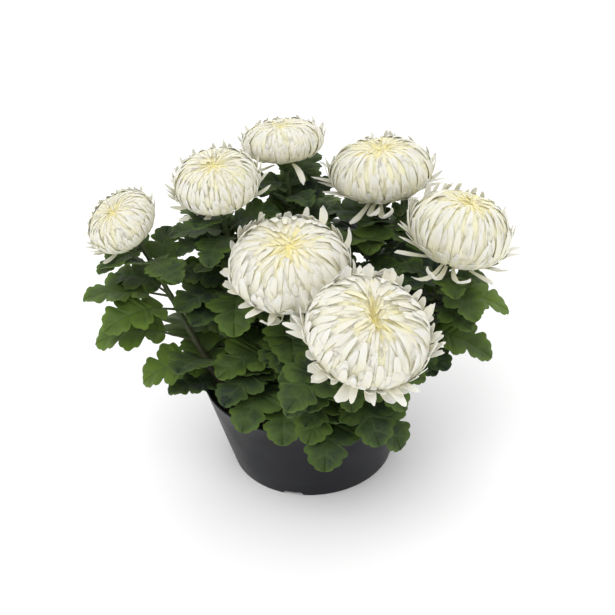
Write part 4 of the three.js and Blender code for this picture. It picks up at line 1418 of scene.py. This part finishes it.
class MUM_OT_pot(bpy.types.Operator):
    """Build the nursery pot"""

    bl_idname = "mum.pot"
    bl_label = "Nursery Pot"

    def execute(self, context):
        make_pot(context.scene.mum_pot)
        return {"FINISHED"}


class MUM_OT_soil(bpy.types.Operator):
    """Build the potting soil with its crumbs"""

    bl_idname = "mum.soil"
    bl_label = "Potting Soil"

    def execute(self, context):
        make_soil(context.scene.mum_soil)
        return {"FINISHED"}


class MUM_OT_leafy_stems(bpy.types.Operator):
    """Build the seven stems with their leaves and calyxes"""

    bl_idname = "mum.leafy_stems"
    bl_label = "Leafy Stems"

    def execute(self, context):
        make_leafy_stems(context.scene.mum_foliage)
        return {"FINISHED"}


class MUM_OT_flower_heads(bpy.types.Operator):
    """Build the seven flower heads, petal by petal"""

    bl_idname = "mum.flower_heads"
    bl_label = "Flower Heads"

    def execute(self, context):
        make_flower_heads(context.scene.mum_bloom)
        return {"FINISHED"}


class MUM_OT_stage(bpy.types.Operator):
    """Set the floor, the lights and the camera"""

    bl_idname = "mum.stage"
    bl_label = "Stage"

    def execute(self, context):
        make_stage(context.scene.mum_stage)
        return {"FINISHED"}


class MUM_PT_panel(bpy.types.Panel):
    """The pieces of the pot chrysanthemum"""

    bl_idname = "MUM_PT_panel"
    bl_label = "Pot Chrysanthemum"
    bl_space_type = "VIEW_3D"
    bl_region_type = "UI"
    bl_category = "Chrysanthemum"

    def draw(self, context):
        for name, _, operator in GROUPS:
            box = self.layout.box()
            box.operator(operator.bl_idname)
            group = getattr(context.scene, name)
            for setting in group.bl_rna.properties.keys():
                if setting not in ("rna_type", "name"):
                    box.prop(group, setting)


GROUPS = (
    ("mum_stage", StageSettings, MUM_OT_stage),
    ("mum_pot", PotSettings, MUM_OT_pot),
    ("mum_soil", SoilSettings, MUM_OT_soil),
    ("mum_foliage", FoliageSettings, MUM_OT_leafy_stems),
    ("mum_bloom", BloomSettings, MUM_OT_flower_heads),
)
CLASSES = (*(settings for _, settings, _ in GROUPS), *(operator for _, _, operator in GROUPS), MUM_PT_panel)


def register():
    for cls in CLASSES:
        bpy.utils.register_class(cls)
    for name, settings, _ in GROUPS:
        setattr(bpy.types.Scene, name, bpy.props.PointerProperty(type=settings))


def unregister():
    for name, _, _ in GROUPS:
        delattr(bpy.types.Scene, name)
    for cls in reversed(CLASSES):
        bpy.utils.unregister_class(cls)


def main():
    register()
    bpy.ops.mum.stage()
    bpy.ops.mum.pot()
    bpy.ops.mum.soil()
    bpy.ops.mum.leafy_stems()
    bpy.ops.mum.flower_heads()
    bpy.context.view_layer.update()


if __name__ == "__main__":
    main()
